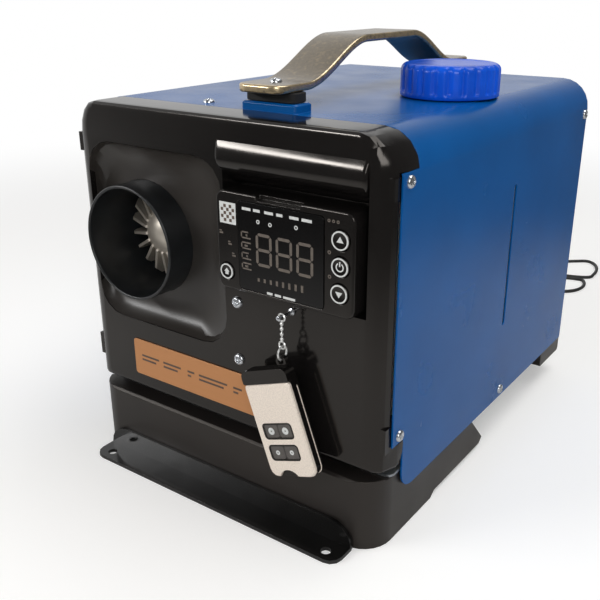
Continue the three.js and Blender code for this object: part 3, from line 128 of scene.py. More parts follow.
def object_place(tree):
    """The shaded point in the piece's own frame, in metres."""
    return add_node(tree, "TexCoord").outputs["Object"]


def principled(material):
    """A material's shader node."""
    return next(n for n in material.node_tree.nodes if n.type == "BSDF_PRINCIPLED")


def bump(tree, shader, value, distance, strength):
    """Raises a shader's surface by a value."""
    inputs = {"Height": value, "Distance": distance, "Strength": strength}
    tree.links.new(add_node(tree, "Bump", inputs=inputs).outputs["Normal"], shader.inputs["Normal"])


def surface(key, name, colour, roughness, metallic=0.0, mottle=None, grain=None, spread=0.0, **sockets):
    """A principled material on object coordinates, kept under a key.

    mottle is (second colour, size in mm, share), grain is (size in mm, bump height in mm), and spread
    is how far roughness wanders either way over patches of a few centimetres.
    """
    material = MATERIALS[key] = bpy.data.materials.new(name)
    tree = cleared(material)
    coordinates = object_place(tree)
    shader = add_node(tree, "BsdfPrincipled", inputs={"Metallic": metallic, **sockets})
    shader.inputs["Base Color"].default_value = linear(colour)
    shader.inputs["Roughness"].default_value = roughness
    if mottle:
        other, size, share = mottle
        low = 0.5 - share / 2
        shade = add_node(tree, "ValToRGB", inputs={"Fac": noise(tree, coordinates, 1000 / size, 5.0)})
        for element, (stop, value) in zip(shade.color_ramp.elements, ((low, colour), (1 - low, other))):
            element.position, element.color = stop, linear(value)
        tree.links.new(shade.outputs["Color"], shader.inputs["Base Color"])
    if spread:
        patches = noise(tree, coordinates, 28.0, 6.0)
        wander = mapped(tree, patches, 0.3, 0.7, roughness - spread, roughness + spread)
        tree.links.new(wander, shader.inputs["Roughness"])
    if grain:
        size, height = grain
        bump(tree, shader, noise(tree, coordinates, 1000 / size, 3.0), height * MM, 1.0)
    add_node(tree, "OutputMaterial", inputs={"Surface": shader.outputs["BSDF"]})
    return material


def brushed(key, name, colour, roughness, direction, metallic=1.0, waves=2600.0, stretch=40.0):
    """A metal or film with fine scratches along one axis: noise of waves to the metre, stretched along it."""
    material = surface(key, name, colour, roughness, metallic)
    tree, shader = material.node_tree, principled(material)
    scale = [waves, waves, waves]
    scale["xyz".index(direction)] = waves / stretch
    drawn = add_node(tree, "Mapping", inputs={"Vector": object_place(tree), "Scale": scale})
    lines = noise(tree, drawn.outputs["Vector"], 1.0, 2.0)
    wander = mapped(tree, lines, 0.3, 0.7, roughness - 0.08, roughness + 0.1)
    tree.links.new(wander, shader.inputs["Roughness"])
    bump(tree, shader, lines, 0.00001, 0.6)


def worn_edges(material, colour):
    """Rubs a material through to a brighter colour where edge_wear is high, broken up by 3 mm noise."""
    tree, shader = material.node_tree, principled(material)
    under = shader.inputs["Base Color"].links[0].from_socket
    near = add_node(tree, "Attribute", {"attribute_name": "edge_wear"}).outputs["Fac"]
    broken = maths(tree, "MULTIPLY", near, noise(tree, object_place(tree), 330.0, 4.0))
    inputs = {0: mapped(tree, broken, 0.2, 0.5), 6: under, 7: linear(colour)}
    mix = add_node(tree, "Mix", {"data_type": "RGBA"}, inputs)
    tree.links.new(mix.outputs[2], shader.inputs["Base Color"])


MATERIALS = {}
LEVEL = "Specular IOR Level"
# Black plastic gives back a slightly warm highlight.
WARM = {LEVEL: 0.4, "Specular Tint": (1.0, 0.93, 0.86, 1.0)}


def make_materials(colours):
    """The finishes, each named for the real material."""
    # Polyester powder coat on steel: an even gloss over an orange peel of about 2 mm.
    surface(
        "powder_coat", "powder_coat_blue", colours.case, 0.24,
        mottle=("024e8e", 60, 0.5), grain=(2.4, 0.01), spread=0.04, **{LEVEL: 0.2},
    )
    # Black moulded ABS, polished tool: mirror-like, faintly clouded by handling.
    surface(
        "gloss_abs", "gloss_abs_black", colours.panel, 0.12,
        mottle=("191716", 80, 0.6), grain=(3, 0.002), spread=0.03, **WARM,
    )
    # The same black ABS with a satin tool finish, no mirror image. Its base colour is lifted from black to
    # brown-grey as painted light, standing in for the light the pocket catches.
    surface(
        "satin_abs_painted_light", "satin_abs_black", "2b2826", 0.34,
        mottle=("35312d", 60, 0.6), grain=(1.6, 0.006), spread=0.04,
    )
    # Black moulded ABS from a spark-eroded tool: a fine grain that spreads the highlight.
    surface(
        "grained_abs", "grained_abs_black", colours.base, 0.36,
        mottle=("24201e", 50, 0.6), grain=(0.7, 0.015), spread=0.05, **WARM,
    )
    # Black polypropylene ducting: slightly waxy, with faint flow marks.
    surface("duct_pp", "polypropylene_black", "151617", 0.33, mottle=("1e2022", 12, 0.5), grain=(1.1, 0.01))
    # Powder-coated bracket steel, thin and glossy over sharp folds.
    surface(
        "bracket", "powder_coat_black", "0c0c0c", 0.15,
        mottle=("141312", 30, 0.5), grain=(1.8, 0.004), spread=0.03,
    )
    # Nitrile rubber: dull, with a dusty bloom.
    surface("rubber", "nitrile_rubber_black", "161616", 0.8, mottle=("242322", 6, 0.7), grain=(0.5, 0.02))
    # Blue moulded polypropylene cap: bright pigment, soft gloss.
    surface(
        "cap_pp", "polypropylene_blue", colours.cap, 0.26,
        mottle=("0a4cc4", 20, 0.5), grain=(0.9, 0.008), **{LEVEL: 0.3},
    )
    # Die-cast aluminium: grey and grainy, darker where heat has touched it.
    surface(
        "cast_aluminium", "die_cast_aluminium", "e2dacd", 0.42,
        metallic=0.7, mottle=("b8afa3", 14, 0.7), grain=(0.8, 0.05),
    )
    # Dark silicone rubber keys: matt, a little dusty.
    surface("key_rubber", "silicone_rubber_dark", "4a4643", 0.55, mottle=("5a5551", 3, 0.6), grain=(0.5, 0.01))
    # Zinc-plated steel fasteners: bright, fine scratches.
    brushed("zinc", "zinc_plated_steel", "c9ccd0", 0.26, "y")
    # Nickel-plated steel wire: bright and smooth. Its metal share is cut to 0.55, so a near-white diffuse part
    # brightens it under the lamps, a painted sheen standing in for the wire's bright reflection.
    surface("chain_steel", "nickel_plated_wire", "e4e4e2", 0.28, metallic=0.55, mottle=("cfcfcc", 2, 0.5))
    # Galvanised sheet: dull zinc with spangle patches of about 9 mm.
    surface(
        "galvanised", "galvanised_sheet", "a9adb0", 0.42, metallic=0.9, mottle=("8f9498", 9, 0.8), spread=0.08
    )
    # Bronze-grey metallic paint: fine flakes in a satin coat, rubbed brighter at the edges.
    surface(
        "bronze", "metallic_paint_bronze", colours.handle, 0.27,
        metallic=0.85, mottle=("7a7266", 1.2, 0.7), grain=(0.6, 0.006),
    )
    worn_edges(MATERIALS["bronze"], "d2bd98")
    # Copper-coloured film label: brushed along its length.
    brushed("copper_film", "copper_film_label", colours.label, 0.38, "x", metallic=0.35)
    # Champagne-silver metallic paint on the fob's face.
    surface(
        "silver", "metallic_paint_silver", colours.fob, 0.33,
        metallic=0.15, mottle=("d8ccc0", 0.9, 0.6), grain=(0.5, 0.004),
    )
    # Smoked acrylic window: hard, glossy, nearly black.
    surface("acrylic", "smoked_acrylic", "0c0b0b", 0.1, spread=0.02, **{LEVEL: 0.3})
    # Screen-printed grey-white ink.
    surface("ink", "screen_print_white", "d9dad8", 0.5, mottle=("c4c6c4", 2, 0.6))
    # Unlit display segments behind the smoked window.
    surface("segment", "display_segment", "6a6158", 0.5, mottle=("574f48", 3, 0.6))
    # Dark print on the label film.
    surface("label_ink", "label_print_dark", "4a3a30", 0.55, mottle=("5c4a3e", 2, 0.6))
    # Natural HDPE tank: milky and waxy.
    surface(
        "hdpe", "hdpe_natural", "e4e2d8", 0.42, mottle=("d8d5c8", 40, 0.5), grain=(2, 0.02),
        **{"Subsurface Weight": 0.2, "Subsurface Scale": 0.004},
    )
    # Green solder resist over glass-fibre board.
    surface("board", "solder_resist_green", "1c6436", 0.3, mottle=("237a42", 3, 0.5))
    # Lead jacket: soft black PVC.
    surface("pvc", "pvc_black", "191919", 0.5, mottle=("232323", 5, 0.5), grain=(0.6, 0.01))


# Meshes


def linked(name, data):
    """A new object in the scene."""
    made = bpy.data.objects.new(name, data)
    bpy.context.scene.collection.objects.link(made)
    return made


def box_of(node):
    """A CAD node's two corners in millimetres."""
    return [np.array(corner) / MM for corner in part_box(node)]


def place(name, mesh, material, body, stands_for=()):
    """Links a finished mesh as a piece: its material, the body it rides on and the nodes it stands for."""
    piece = linked(name, mesh)
    mesh.materials.clear()
    mesh.materials.append(MATERIALS[material])
    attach(piece, body)
    if stands_for:
        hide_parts(*stands_for)
    return piece


def mesh_of(name, points, faces, smooth=True):
    """A mesh from points in millimetres and rows of corner numbers."""
    mesh = bpy.data.meshes.new(name)
    mesh.from_pydata((np.asarray(points, float) * MM).tolist(), [], [list(map(int, f)) for f in faces])
    mesh.update()
    mesh.polygons.foreach_set("use_smooth", np.full(len(mesh.polygons), smooth))
    return mesh


def skin(grid, loop=False):
    """A grid of points as (points, faces): its columns close in rings, and in a loop its rows do too."""
    rows, columns = grid.shape[:2]
    a, b = np.meshgrid(np.arange(rows if loop else rows - 1), np.arange(columns), indexing="ij")
    a, b = a.ravel(), b.ravel()
    a1, b1 = (a + 1) % rows, (b + 1) % columns
    faces = np.stack([a * columns + b, a * columns + b1, a1 * columns + b1, a1 * columns + b], axis=1)
    return grid.reshape(-1, 3), faces


def tube(path, radius, sides, closed=False):
    """Carries a circle along a path: point + r (cos t normal + sin t binormal), its frames kept parallel."""
    path = np.asarray(path, float)
    tangent = np.roll(path, -1, 0) - np.roll(path, 1, 0) if closed else np.gradient(path, axis=0)
    tangent /= np.linalg.norm(tangent, axis=1)[:, None]
    normal = np.empty_like(path)
    start = np.cross(tangent[0], [0.0, 0.0, 1.0])
    normal[0] = start / np.linalg.norm(start)
    for i in range(1, len(path)):
        n = normal[i - 1] - tangent[i] * (normal[i - 1] @ tangent[i])
        normal[i] = n / np.linalg.norm(n)
    binormal = np.cross(tangent, normal)
    angle = np.linspace(0, 2 * np.pi, sides, endpoint=False)
    ring = normal[:, None] * np.cos(angle)[None, :, None] + binormal[:, None] * np.sin(angle)[None, :, None]
    radii = np.broadcast_to(np.asarray(radius, float), (len(path),))
    return skin(path[:, None] + ring * radii[:, None, None], closed)


def finish_mesh(mesh):
    """Merges doubles, closes open ends and turns the faces outwards."""
    work = bmesh.new()
    work.from_mesh(mesh)
    bmesh.ops.remove_doubles(work, verts=work.verts, dist=2e-6)
    edges = [e for e in work.edges if e.is_boundary]
    if edges:
        bmesh.ops.holes_fill(work, edges=edges, sides=0)
    bmesh.ops.recalc_face_normals(work, faces=work.faces)
    work.to_mesh(mesh)
    work.free()
    return mesh


def sharpen(mesh, degrees):
    """Smooth shading, with edges sharper than an angle kept crisp."""
    mesh.polygons.foreach_set("use_smooth", np.ones(len(mesh.polygons), bool))
    work = bmesh.new()
    work.from_mesh(mesh)
    limit = math.radians(degrees)
    for edge in work.edges:
        edge.smooth = len(edge.link_faces) == 2 and edge.calc_face_angle(0.0) < limit
    work.to_mesh(mesh)
    work.free()


def shaped(name, shape, degrees):
    """A closed mesh from (points, faces), crisp along edges sharper than an angle."""
    mesh = finish_mesh(mesh_of(name, *shape))
    sharpen(mesh, degrees)
    return mesh


def dress(node, material, bevel, degrees=32, segments=2):
    """Stands in for a CAD node with its own shape: doubles merged, flats made whole, edges rounded.

    bevel is the round's width in mm, and degrees the angle from which an edge is crisp and rounded.
    """
    mesh = frame["nodes"][node].data.copy()
    mesh.name = "dressed_" + node
    work = bmesh.new()
    work.from_mesh(mesh)
    bmesh.ops.remove_doubles(work, verts=work.verts, dist=2e-6)
    bmesh.ops.dissolve_limit(
        work, angle_limit=math.radians(0.6), verts=work.verts, edges=work.edges, use_dissolve_boundaries=False
    )
    work.to_mesh(mesh)
    work.free()
    sharpen(mesh, degrees)
    piece = place("dressed_" + node, mesh, material, BODY_OF[node], (node,))
    if bevel:
        round_edges = piece.modifiers.new("edge_round", "BEVEL")
        round_edges.width = bevel * MM
        round_edges.segments = segments
        round_edges.limit_method = "ANGLE"
        round_edges.angle_limit = math.radians(degrees)
        piece.modifiers.new("flat_shading", "WEIGHTED_NORMAL").keep_sharp = True
    return piece


def dress_all(*rows):
    """Dresses nodes by rows of (node, material, bevel, degrees, segments)."""
    return [dress(*row) for row in rows]


def brow_lip(left=4.3, right=104.9, high=232.0, drop=21.0, slope=0.4, turn=15.6):
    """The rolled skin over the controller: s below its top edge it stands out by slope s (1 - (s / turn)^2).

    So it rolls forward and then sinks back into the recess, and both ends shrink as (1 - e^4)^0.5 of the
    end's share e.
    """
    u = np.linspace(-1, 1, 161)
    down = np.linspace(0, drop, 61)[None]
    end = np.clip((np.abs(u) - 0.93) / 0.07, 0, 1)
    taper = np.sqrt(1 - end**4)[:, None]
    x = (left + right) / 2 + (right - left) / 2 * u[:, None] + 0 * down
    z = high - 1.5 * (1 - taper) - down * (0.5 + 0.5 * taper)
    out = slope * down * (1 - (down / turn) ** 2)
    y = PANEL_Y - np.where(out > 0, out * taper, out)
    front = np.stack([x, y, z], axis=2)
    back = np.stack([x, PANEL_Y + 0.6 + np.maximum(-out, 0) + 0 * x, z], axis=2)[:, ::-1]
    ring = np.concatenate([front, back], axis=1)
    return skin(ring)


def handle_strap(
    x=19.5, width=33.0, front=18.0, back=260.5, tab=27.0, ramp=64.8,
    low=261.2, high=284.2, thick=4.7, corner=9.0, edge=1.5,
):
    """The bent strap: its upper line climbs from tab to arch by the smooth step 3s^2 - 2s^3 over the ramp.

    A rounded oblong of the strap's width and thickness is carried along it, narrowed to a quarter round of
    the plan's corner radius and thinned to the edge's round at both ends. Also gives each point's nearness
    to an edge.
    """
    ends = corner * (1 - np.cos(np.linspace(0, np.pi / 2, 22)))
    between = np.linspace(front + corner, back - corner, 150)[1:-1]
    y = np.concatenate([front + ends, between, (back - ends)[::-1]])
    d = np.minimum(y - front, back - y)
    step = np.clip((d - tab) / ramp, 0, 1)
    z = low + (high - low) * step**2 * (3 - 2 * step)
    slope = np.gradient(z, y)
    normal = np.stack([-slope, np.ones_like(slope)], axis=1) / np.sqrt(1 + slope**2)[:, None]

    def rounded(size, r):
        return size / 2 - r + np.sqrt(np.maximum(r**2 - np.maximum(r - d, 0) ** 2, 0.01))

    half, thin = rounded(width, corner)[:, None], rounded(thick, edge)[:, None]
    angle = np.radians(np.concatenate([np.linspace(q * 90, q * 90 + 90, 7) for q in range(4)]))
    side, over = np.repeat([[1, -1, -1, 1], [1, 1, -1, -1]], 7, axis=1)
    u = side * (half - edge) + edge * np.cos(angle)
    v = over * np.maximum(thin - edge, 0.05) + np.minimum(edge, thin) * np.sin(angle) - thick / 2
    points = np.stack([x + u, y[:, None] + normal[:, :1] * v, z[:, None] + normal[:, 1:] * v], axis=2)
    near = np.exp(-np.maximum(half - np.abs(u), 0) / 1.6) + np.exp(-d / 2.2)[:, None]
    return (*skin(points), np.clip(near, 0, 1).ravel())


def filler_cap(centre, groove, radius=31.7, low=246.0, high=266.7, flutes=22, crown=4.2):
    """A hollow screw cap: a profile of (radius, height, share of fluting) turned about z.

    The radius falls by groove times share times (0.5 + 0.5 cos(flutes t))^3, a row of narrow grooves
    between broad ribs.
    """
    bend = np.radians(np.linspace(90, 0, 10))
    rolled = [
        (radius - crown + crown * np.cos(a), high - 4.6 + crown * np.sin(a), max(0.0, 1 - a / 1.2) ** 0.5)
        for a in bend
    ]
    top = [(0.0, high - 0.6, 0), (radius - 9, high - 0.6, 0), (radius - 7.4, high - 0.5, 0)]
    skirt = [(radius, high - 7, 1), (radius, low + 4.2, 1), (radius, low + 3.4, 0.9), (radius, low + 2.6, 0)]
    rim = [(radius, low + 0.5, 0), (radius - 0.5, low, 0), (radius - 1.1, low, 0), (radius - 1.2, low + 2.9, 0)]
    inside = [(radius - 4, low + 3.2, 0), (26.0, high - 3.4, 0), (0.0, high - 3.4, 0)]
    profile = np.array([*top, (radius - 6.4, high - 0.15, 0), *rolled, *skirt, *rim, *inside])
    angle = np.linspace(0, 2 * np.pi, flutes * 16, endpoint=False)[None]
    fall = groove * profile[:, 2:] * (0.5 + 0.5 * np.cos(flutes * angle)) ** 3
    r = np.maximum(profile[:, :1] - fall, 0)
    x, y, z = centre[0] + r * np.cos(angle), centre[1] + r * np.sin(angle), profile[:, 1:2] + 0 * angle
    return skin(np.stack([x, y, z], axis=2))


def pan_screw(low, high, axis, sign):
    """A pan-head screw in a box: the head's skin stands up by 0.58 R (1 - r^3)^0.5.

    A cross-shaped recess is taken from it where the smaller of |u| and |v| is under 0.16 R and r under 0.6 R,
    and under the head a shank runs to the box's end.
    """
    dome, cross, reach, soft, shank = 0.58, 0.16, 0.6, 0.02, 0.45
    middle = (low + high) / 2
    across = [i for i in range(3) if i != axis]
    radius = (high - low)[across[0]] / 2
    tip, end = (high[axis], low[axis]) if sign > 0 else (low[axis], high[axis])
    face = tip - sign * dome * radius
    share = np.concatenate([np.linspace(0, 0.62, 14), np.linspace(0.66, 1, 12)])[:, None]
    angle = np.linspace(0, 2 * np.pi, 48, endpoint=False)[None]
    u, v = share * np.cos(angle), share * np.sin(angle)
    slot = np.minimum(np.abs(u), np.abs(v)) - cross
    recess = 1 / (1 + np.exp(slot / soft)) / (1 + np.exp((share - reach) / soft))
    height = dome * np.sqrt(np.maximum(1 - share**3, 0)) - 0.34 * recess
    neck = face + sign * 0.05
    r = np.vstack([share, [[1.0], [shank], [shank], [0.0]]]) * radius
    level = np.vstack([face + sign * radius * height, np.array([[neck], [neck], [end], [end]]) + 0 * angle])
    points = np.empty((*level.shape, 3))
    points[..., across[0]] = middle[across[0]] + r * np.cos(angle)
    points[..., across[1]] = middle[across[1]] + r * np.sin(angle)
    points[..., axis] = level
    return skin(points)


def rounded_oblong(left, right, low, high, radius, steps=6):
    """The outline of a rectangle with quarter-round corners."""
    left, right, low, high = left + radius, right - radius, low + radius, high - radius
    parts = []
    for quarter, middle in enumerate(((right, high), (left, high), (left, low), (right, low))):
        angle = np.radians(np.linspace(0, 90, steps + 1)) + math.radians(90 * quarter)
        parts.append(middle + radius * np.column_stack([np.cos(angle), np.sin(angle)]))
    return np.vstack(parts)


def frame_shape(outer, inner, lift, thick, loop=True):
    """A flat frame or strip between two outlines with the same number of points, with thickness."""
    rows = [(outer, lift), (outer, lift + thick), (inner, lift + thick), (inner, lift)]
    points = np.stack([np.column_stack([o[:, 0], np.full(len(o), y), o[:, 1]]) for o, y in rows], axis=1)
    return skin(points, loop)


def on_fob(points):
    """Turns points from the fob's own upright frame to its place."""
    c, s = math.cos(FOB_TILT), math.sin(FOB_TILT)
    x, y, z = points.T
    return np.column_stack([FOB_PLACE[0] + x * c - z * s, y, FOB_PLACE[1] + x * s + z * c])


def flat_shape(outline, lift, thick=0.08):
    """A thin plate from an outline of (u, v) points: its face at lift, its back thick behind it."""
    outline = np.asarray(outline, float)
    count = len(outline)
    front = np.column_stack([outline[:, 0], np.full(count, lift), outline[:, 1]])
    back = front + [0, thick, 0]
    faces = [list(range(count)), list(range(2 * count - 1, count - 1, -1))]
    faces += [[i, count + i, count + (i + 1) % count, (i + 1) % count] for i in range(count)]
    return np.vstack([front, back]), faces


def joined(name, shapes, material, body="case", turn=None):
    """Makes one piece of several (points, faces) shapes, and may turn them all to their place."""
    points, faces, offset = [], [], 0
    for shape_points, shape_faces in shapes:
        points.append(shape_points)
        faces += [[offset + int(c) for c in face] for face in shape_faces]
        offset += len(shape_points)
    points = np.vstack(points)
    if turn is not None:
        points = turn(points)
    return place(name, finish_mesh(mesh_of(name, points, faces, smooth=False)), material, body)


def bar(u0, v0, u1, v1, lift):
    """A thin rectangular plate between two corners."""
    return flat_shape([(u0, v0), (u1, v0), (u1, v1), (u0, v1)], lift)


def ring_shape(u, v, outer, inner, lift, thick=0.08, start=0.0, end=360.0, count=40):
    """A flat ring or an arc of one, with thickness."""
    closed = abs(end - start - 360) < 1e-6
    angle = np.radians(np.linspace(start, end, count, endpoint=not closed))
    way = np.column_stack([np.cos(angle), np.sin(angle)])
    points, faces = frame_shape([u, v] + outer * way, [u, v] + inner * way, lift, thick, closed)
    faces = faces.tolist()
    if not closed:
        faces += [[0, 1, 2, 3], [4 * count - 1, 4 * count - 2, 4 * count - 3, 4 * count - 4]]
    return points, faces


def segment_digit(u, v, width, height, stroke, lift):
    """Seven bars with pointed ends, the unlit digit of a display."""
    half = stroke / 2
    left, right, low, mid, high = u, u + width, v, v + height / 2, v + height
    strokes = [((left, level), (right, level)) for level in (low, mid, high)]
    strokes += [((edge, a), (edge, b)) for edge in (left, right) for a, b in ((low, mid), (mid, high))]
    shapes = []
    for ends in strokes:
        a, b = np.array(ends, float)
        run = (b - a) / np.linalg.norm(b - a)
        side = np.array([-run[1], run[0]]) * half
        a, b = a + run * half * 0.4, b - run * half * 0.4
        c, d = a + run * half, b - run * half
        shapes.append(flat_shape([a, c + side, d + side, b, d - side, c - side], lift))
    return shapes


# Settings


class AIRHEATER_PG_colours(bpy.types.PropertyGroup):
    """Colours that a user would change, as sRGB hex values."""

    case: StringProperty(name="Case", description="Powder coat of the case", default="04589e")
    panel: StringProperty(name="Front panel", description="Gloss black of the front panel", default="0f0e0e")
    base: StringProperty(name="Base", description="Grained black of the base", default="1c1a19")
    cap: StringProperty(name="Filler cap", description="Moulded blue of the filler cap", default="0a5ee8")
    handle: StringProperty(name="Handle", description="Metallic paint of the handle", default="948a7b")
    label: StringProperty(name="Label", description="Film of the front label", default="be8454")
    fob: StringProperty(name="Key fob", description="Metallic paint of the fob's face", default="fbeedf")


class AIRHEATER_PG_sizes(bpy.types.PropertyGroup):
    """Sizes of the added detail."""

    panel_edge: FloatProperty(name="Panel edge", description="Round of its edges", default=0.0011, unit="LENGTH")
    base_edge: FloatProperty(name="Base edge", description="Round of its edges", default=0.0008, unit="LENGTH")
    cap_groove: FloatProperty(name="Cap groove", description="Depth of each one", default=0.0015, unit="LENGTH")


class AIRHEATER_PG_studio(bpy.types.PropertyGroup):
    """Light and camera settings."""

    key_power: FloatProperty(name="Key light", description="Overhead softbox", default=11.0, unit="POWER")
    strip_power: FloatProperty(name="Strip light", description="Long front strip", default=8.0, unit="POWER")
    fill_power: FloatProperty(name="Fill light", description="Softbox in front", default=8.5, unit="POWER")
    room: FloatProperty(name="Room light", description="Strength of the light from all round", default=0.26)
    floor_lift: FloatProperty(name="Floor lift", description="White seen over the paper", default=0.31)
    lens: FloatProperty(name="Lens", description="Focal length, 36 mm sensor", default=47.64, unit="CAMERA")


# Operators


# The photograph's camera: its place in metres from the panel's plane, its turn and its view downwards in
# degrees, and the shift of its frame.
CAMERA = {"place": (0.30597, -0.33102, 0.31298), "turn": 35.33, "down": 21.61, "shift": (-0.022, -0.003)}


def add_camera():
    """Adds the camera that stands where the photograph was taken."""
    data = bpy.data.cameras.new("photo_view")
    data.sensor_width = 36.0
    data.lens = bpy.context.scene.air_heater_studio.lens
    data.shift_x, data.shift_y = CAMERA["shift"]
    data.clip_start, data.clip_end = 0.05, 20.0
    camera = linked("photo_view", data)
    pitch = Matrix.Rotation(math.radians(90 - CAMERA["down"]), 4, "X")
    x, y, z = CAMERA["place"]
    place_at = Matrix.Translation((x, y + PANEL_Y * MM, z))
    camera.matrix_world = place_at @ (Matrix.Rotation(math.radians(CAMERA["turn"]), 4, "Z") @ pitch)
    bpy.context.scene.camera = camera


def catmull(points, per_span):
    """A Catmull-Rom curve: each end's slope is half the chord of its neighbours."""
    points = np.asarray(points, float)
    ends = np.vstack([2 * points[0] - points[1], points, 2 * points[-1] - points[-2]])
    t = np.linspace(0, 1, per_span, endpoint=False)[None, :, None]
    p0, p1, p2, p3 = (ends[i:len(ends) - 3 + i][:, None, :] for i in range(4))
    square, cube = 2 * p0 - 5 * p1 + 4 * p2 - p3, 3 * p1 - p0 - 3 * p2 + p3
    curve = 0.5 * (2 * p1 + (p2 - p0) * t + square * t**2 + cube * t**3)
    return np.vstack([curve.reshape(-1, 3), points[-1:]])


# The lead's way from the gland down to the floor and round beside the case, from the front panel's plane.
LEAD_DOWN = [
    (20, 322.6, 58.5), (20, 329.3, 58.5), (20.5, 339.3, 54.5), (22, 347.3, 42), (23, 352.3, 26),
    (24, 357.3, 12), (26, 365.3, 5.8), (28, 376.3, 3.2), (30, 394.3, 2.2), (30, 412.3, 1.85),
]
LEAD_LYING = [
    (30, 430), (31, 447), (37, 466), (51, 478), (64, 485.5), (72.3, 497), (74.5, 511.8), (71, 525.5),
    (62, 531.5), (28, 520), (10, 510), (-6, 508), (-16, 516), (-14, 528), (0, 534), (20, 534.5), (44, 534),
    (69, 543.5), (72, 557), (69.5, 577), (62, 593), (51, 600), (38, 591), (20, 577), (-8, 569), (-38, 560),
    (-61, 536), (-69, 500), (-70, 472), (-70, 448), (-70, 440.3),
]
COIL_TAIL = [(-20, 450, 5.6), (-19, 459, 5), (-18, 466, 4.8), (-18, 470, 4.8)]


def coil_points(x=-45, y=440, outer=25, inner=12, turns=6.5, rise=4):
    """A flat spiral: r falls to the middle turn and grows back, one layer up past it."""
    turn = np.arange(0, turns + 1e-9, 1 / 24)
    radius = inner + (outer - inner) * np.abs(turn - turns / 2) / (turns / 2)
    s = np.clip((turn - turns / 2 + 0.25) / 0.5, 0, 1)
    angle = np.pi + 2 * np.pi * turn
    ring = [x + radius * np.cos(angle), y + radius * np.sin(angle), CORD_RADIUS + rise * s * s * (3 - 2 * s)]
    return np.vstack([np.column_stack(ring), COIL_TAIL])


class AIRHEATER_OT_lead(bpy.types.Operator):
    """Adds the power lead, its coil and the finishes of its gland and connector."""

    bl_idname = "airheater.lead"
    bl_label = "Power lead"

    def execute(self, context):
        lying = [(x, y, CORD_RADIUS) for x, y in LEAD_LYING]
        free = catmull(LEAD_DOWN + lying, 6)
        coil = catmull(coil_points(), 2)
        path = np.vstack([free, coil[1:]]) + [0, PANEL_Y, 0]
        mesh = shaped("power_lead", tube(path, CORD_RADIUS, sides=10), 50)
        lead = place("power_lead", mesh, "pvc", "case", ("power_cord", "cord_coil"))
        gland, plug = dress_all(("cable_gland", "grained_abs", 0.3), ("power_connector", "grained_abs", 0.35))
        return {"FINISHED"}


# The pocket round the outlet, in x, in y behind the panel's plane, and in z.
POCKET = ((-107, 3.6), (0.4, 32), (86, 228))


class AIRHEATER_OT_case(bpy.types.Operator):
    """Dresses the shell, front panel, base, bracket, foot and rear side."""

    bl_idname = "airheater.case"
    bl_label = "Case"

    def execute(self, context):
        sizes = context.scene.air_heater_sizes
        dress("case_shell", "powder_coat", 0.5, 25)
        panel = dress("front_panel", "gloss_abs", sizes.panel_edge / MM, 28, 4)
        panel.data.materials.append(MATERIALS["satin_abs_painted_light"])
        # The pocket is moulded satin, so its faces, which don't look backwards, take the second finish, whose
        # lifted brown-grey colour is painted light.
        for face in panel.data.polygons:
            spot = face.center / MM - Vector((0, PANEL_Y, 0))
            inside = all(low < value < high for value, (low, high) in zip(spot, POCKET))
            if inside and face.normal.y < -0.05:
                face.material_index = 1
        dress_all(
            ("base_housing", "grained_abs", sizes.base_edge / MM, 28, 3),
            ("mounting_bracket", "bracket", 0.4, 30),
            ("rear_foot", "grained_abs", 0.8, 28),
            ("rear_panel", "bracket", 0.4, 28),
            ("intake_guard", "zinc", 0, 50),
            ("bottom_plate", "galvanised", 0.3, 30),
        )
        return {"FINISHED"}


class AIRHEATER_OT_brow(bpy.types.Operator):
    """Adds the rolled lip over the controller, which catches the light."""

    bl_idname = "airheater.brow"
    bl_label = "Brow lip"

    def execute(self, context):
        place("brow_lip", shaped("brow_lip", brow_lip(), 60), "gloss_abs", "case")
        return {"FINISHED"}


class AIRHEATER_OT_handle(bpy.types.Operator):
    """Makes the carrying handle's strap and dresses its pads."""

    bl_idname = "airheater.handle"
    bl_label = "Carrying handle"

    def execute(self, context):
        points, faces, near = handle_strap()
        mesh = mesh_of("handle_strap", points + [0, PANEL_Y, 0], faces)
        wear = mesh.attributes.new("edge_wear", "FLOAT", "POINT")
        wear.data.foreach_set("value", near)
        sharpen(finish_mesh(mesh), 60)
        place("handle_strap", mesh, "bronze", "case", ("carry_handle",))
        dress_all(("handle_pad_front", "rubber", 0.5), ("handle_pad_rear", "rubber", 0.5))
        return {"FINISHED"}


def outlet_tube(x=-67.2, z=159.8, radius=37.5, wall=2.2, front=PANEL_Y - 8.0, back=PANEL_Y + 43.7, lip=1.1):
    """A tube turned about y, whose mouth is rolled over in a half round between its two walls."""
    bend = np.radians(np.linspace(0, 180, 13))
    mouth = np.column_stack([radius - wall / 2 + wall / 2 * np.cos(bend), front + lip - lip * np.sin(bend)])
    outside = [[radius, back], [radius, front + 12], [radius, front + 1.6]]
    inside = [[radius - wall, front + 12], [radius - wall, back], [radius, back]]
    profile = np.vstack([outside, mouth, inside])
    angle = np.linspace(0, 2 * np.pi, 96, endpoint=False)
    r, y = profile[:, :1], profile[:, 1:] + 0 * angle
    return skin(np.stack([x + r * np.cos(angle), y, z + r * np.sin(angle)], axis=2))


class AIRHEATER_OT_warm_air(bpy.types.Operator):
    """Makes the outlet tube and dresses the heater inside."""

    bl_idname = "airheater.warm_air"
    bl_label = "Warm-air side"

    def execute(self, context):
        mesh = shaped("outlet_tube", outlet_tube(), 40)
        place("outlet_tube", mesh, "duct_pp", "case", ("outlet_duct",))
        for name in ("casing_lower", "casing_upper", "warm_air_fan"):
            dress(name, "duct_pp", 0.3)
        dress("heat_exchanger", "cast_aluminium", 0.35, 30)
        for name in ("blower_housing", "combustion_impeller"):
            dress(name, "cast_aluminium", 0.3, 30)
        for name in ("blower_motor", "fuel_pump", "rotor_shaft", "exhaust_pipe"):
            dress(name, "zinc", 0.3, 30)
        dress("control_board", "board", 0.2)
        return {"FINISHED"}


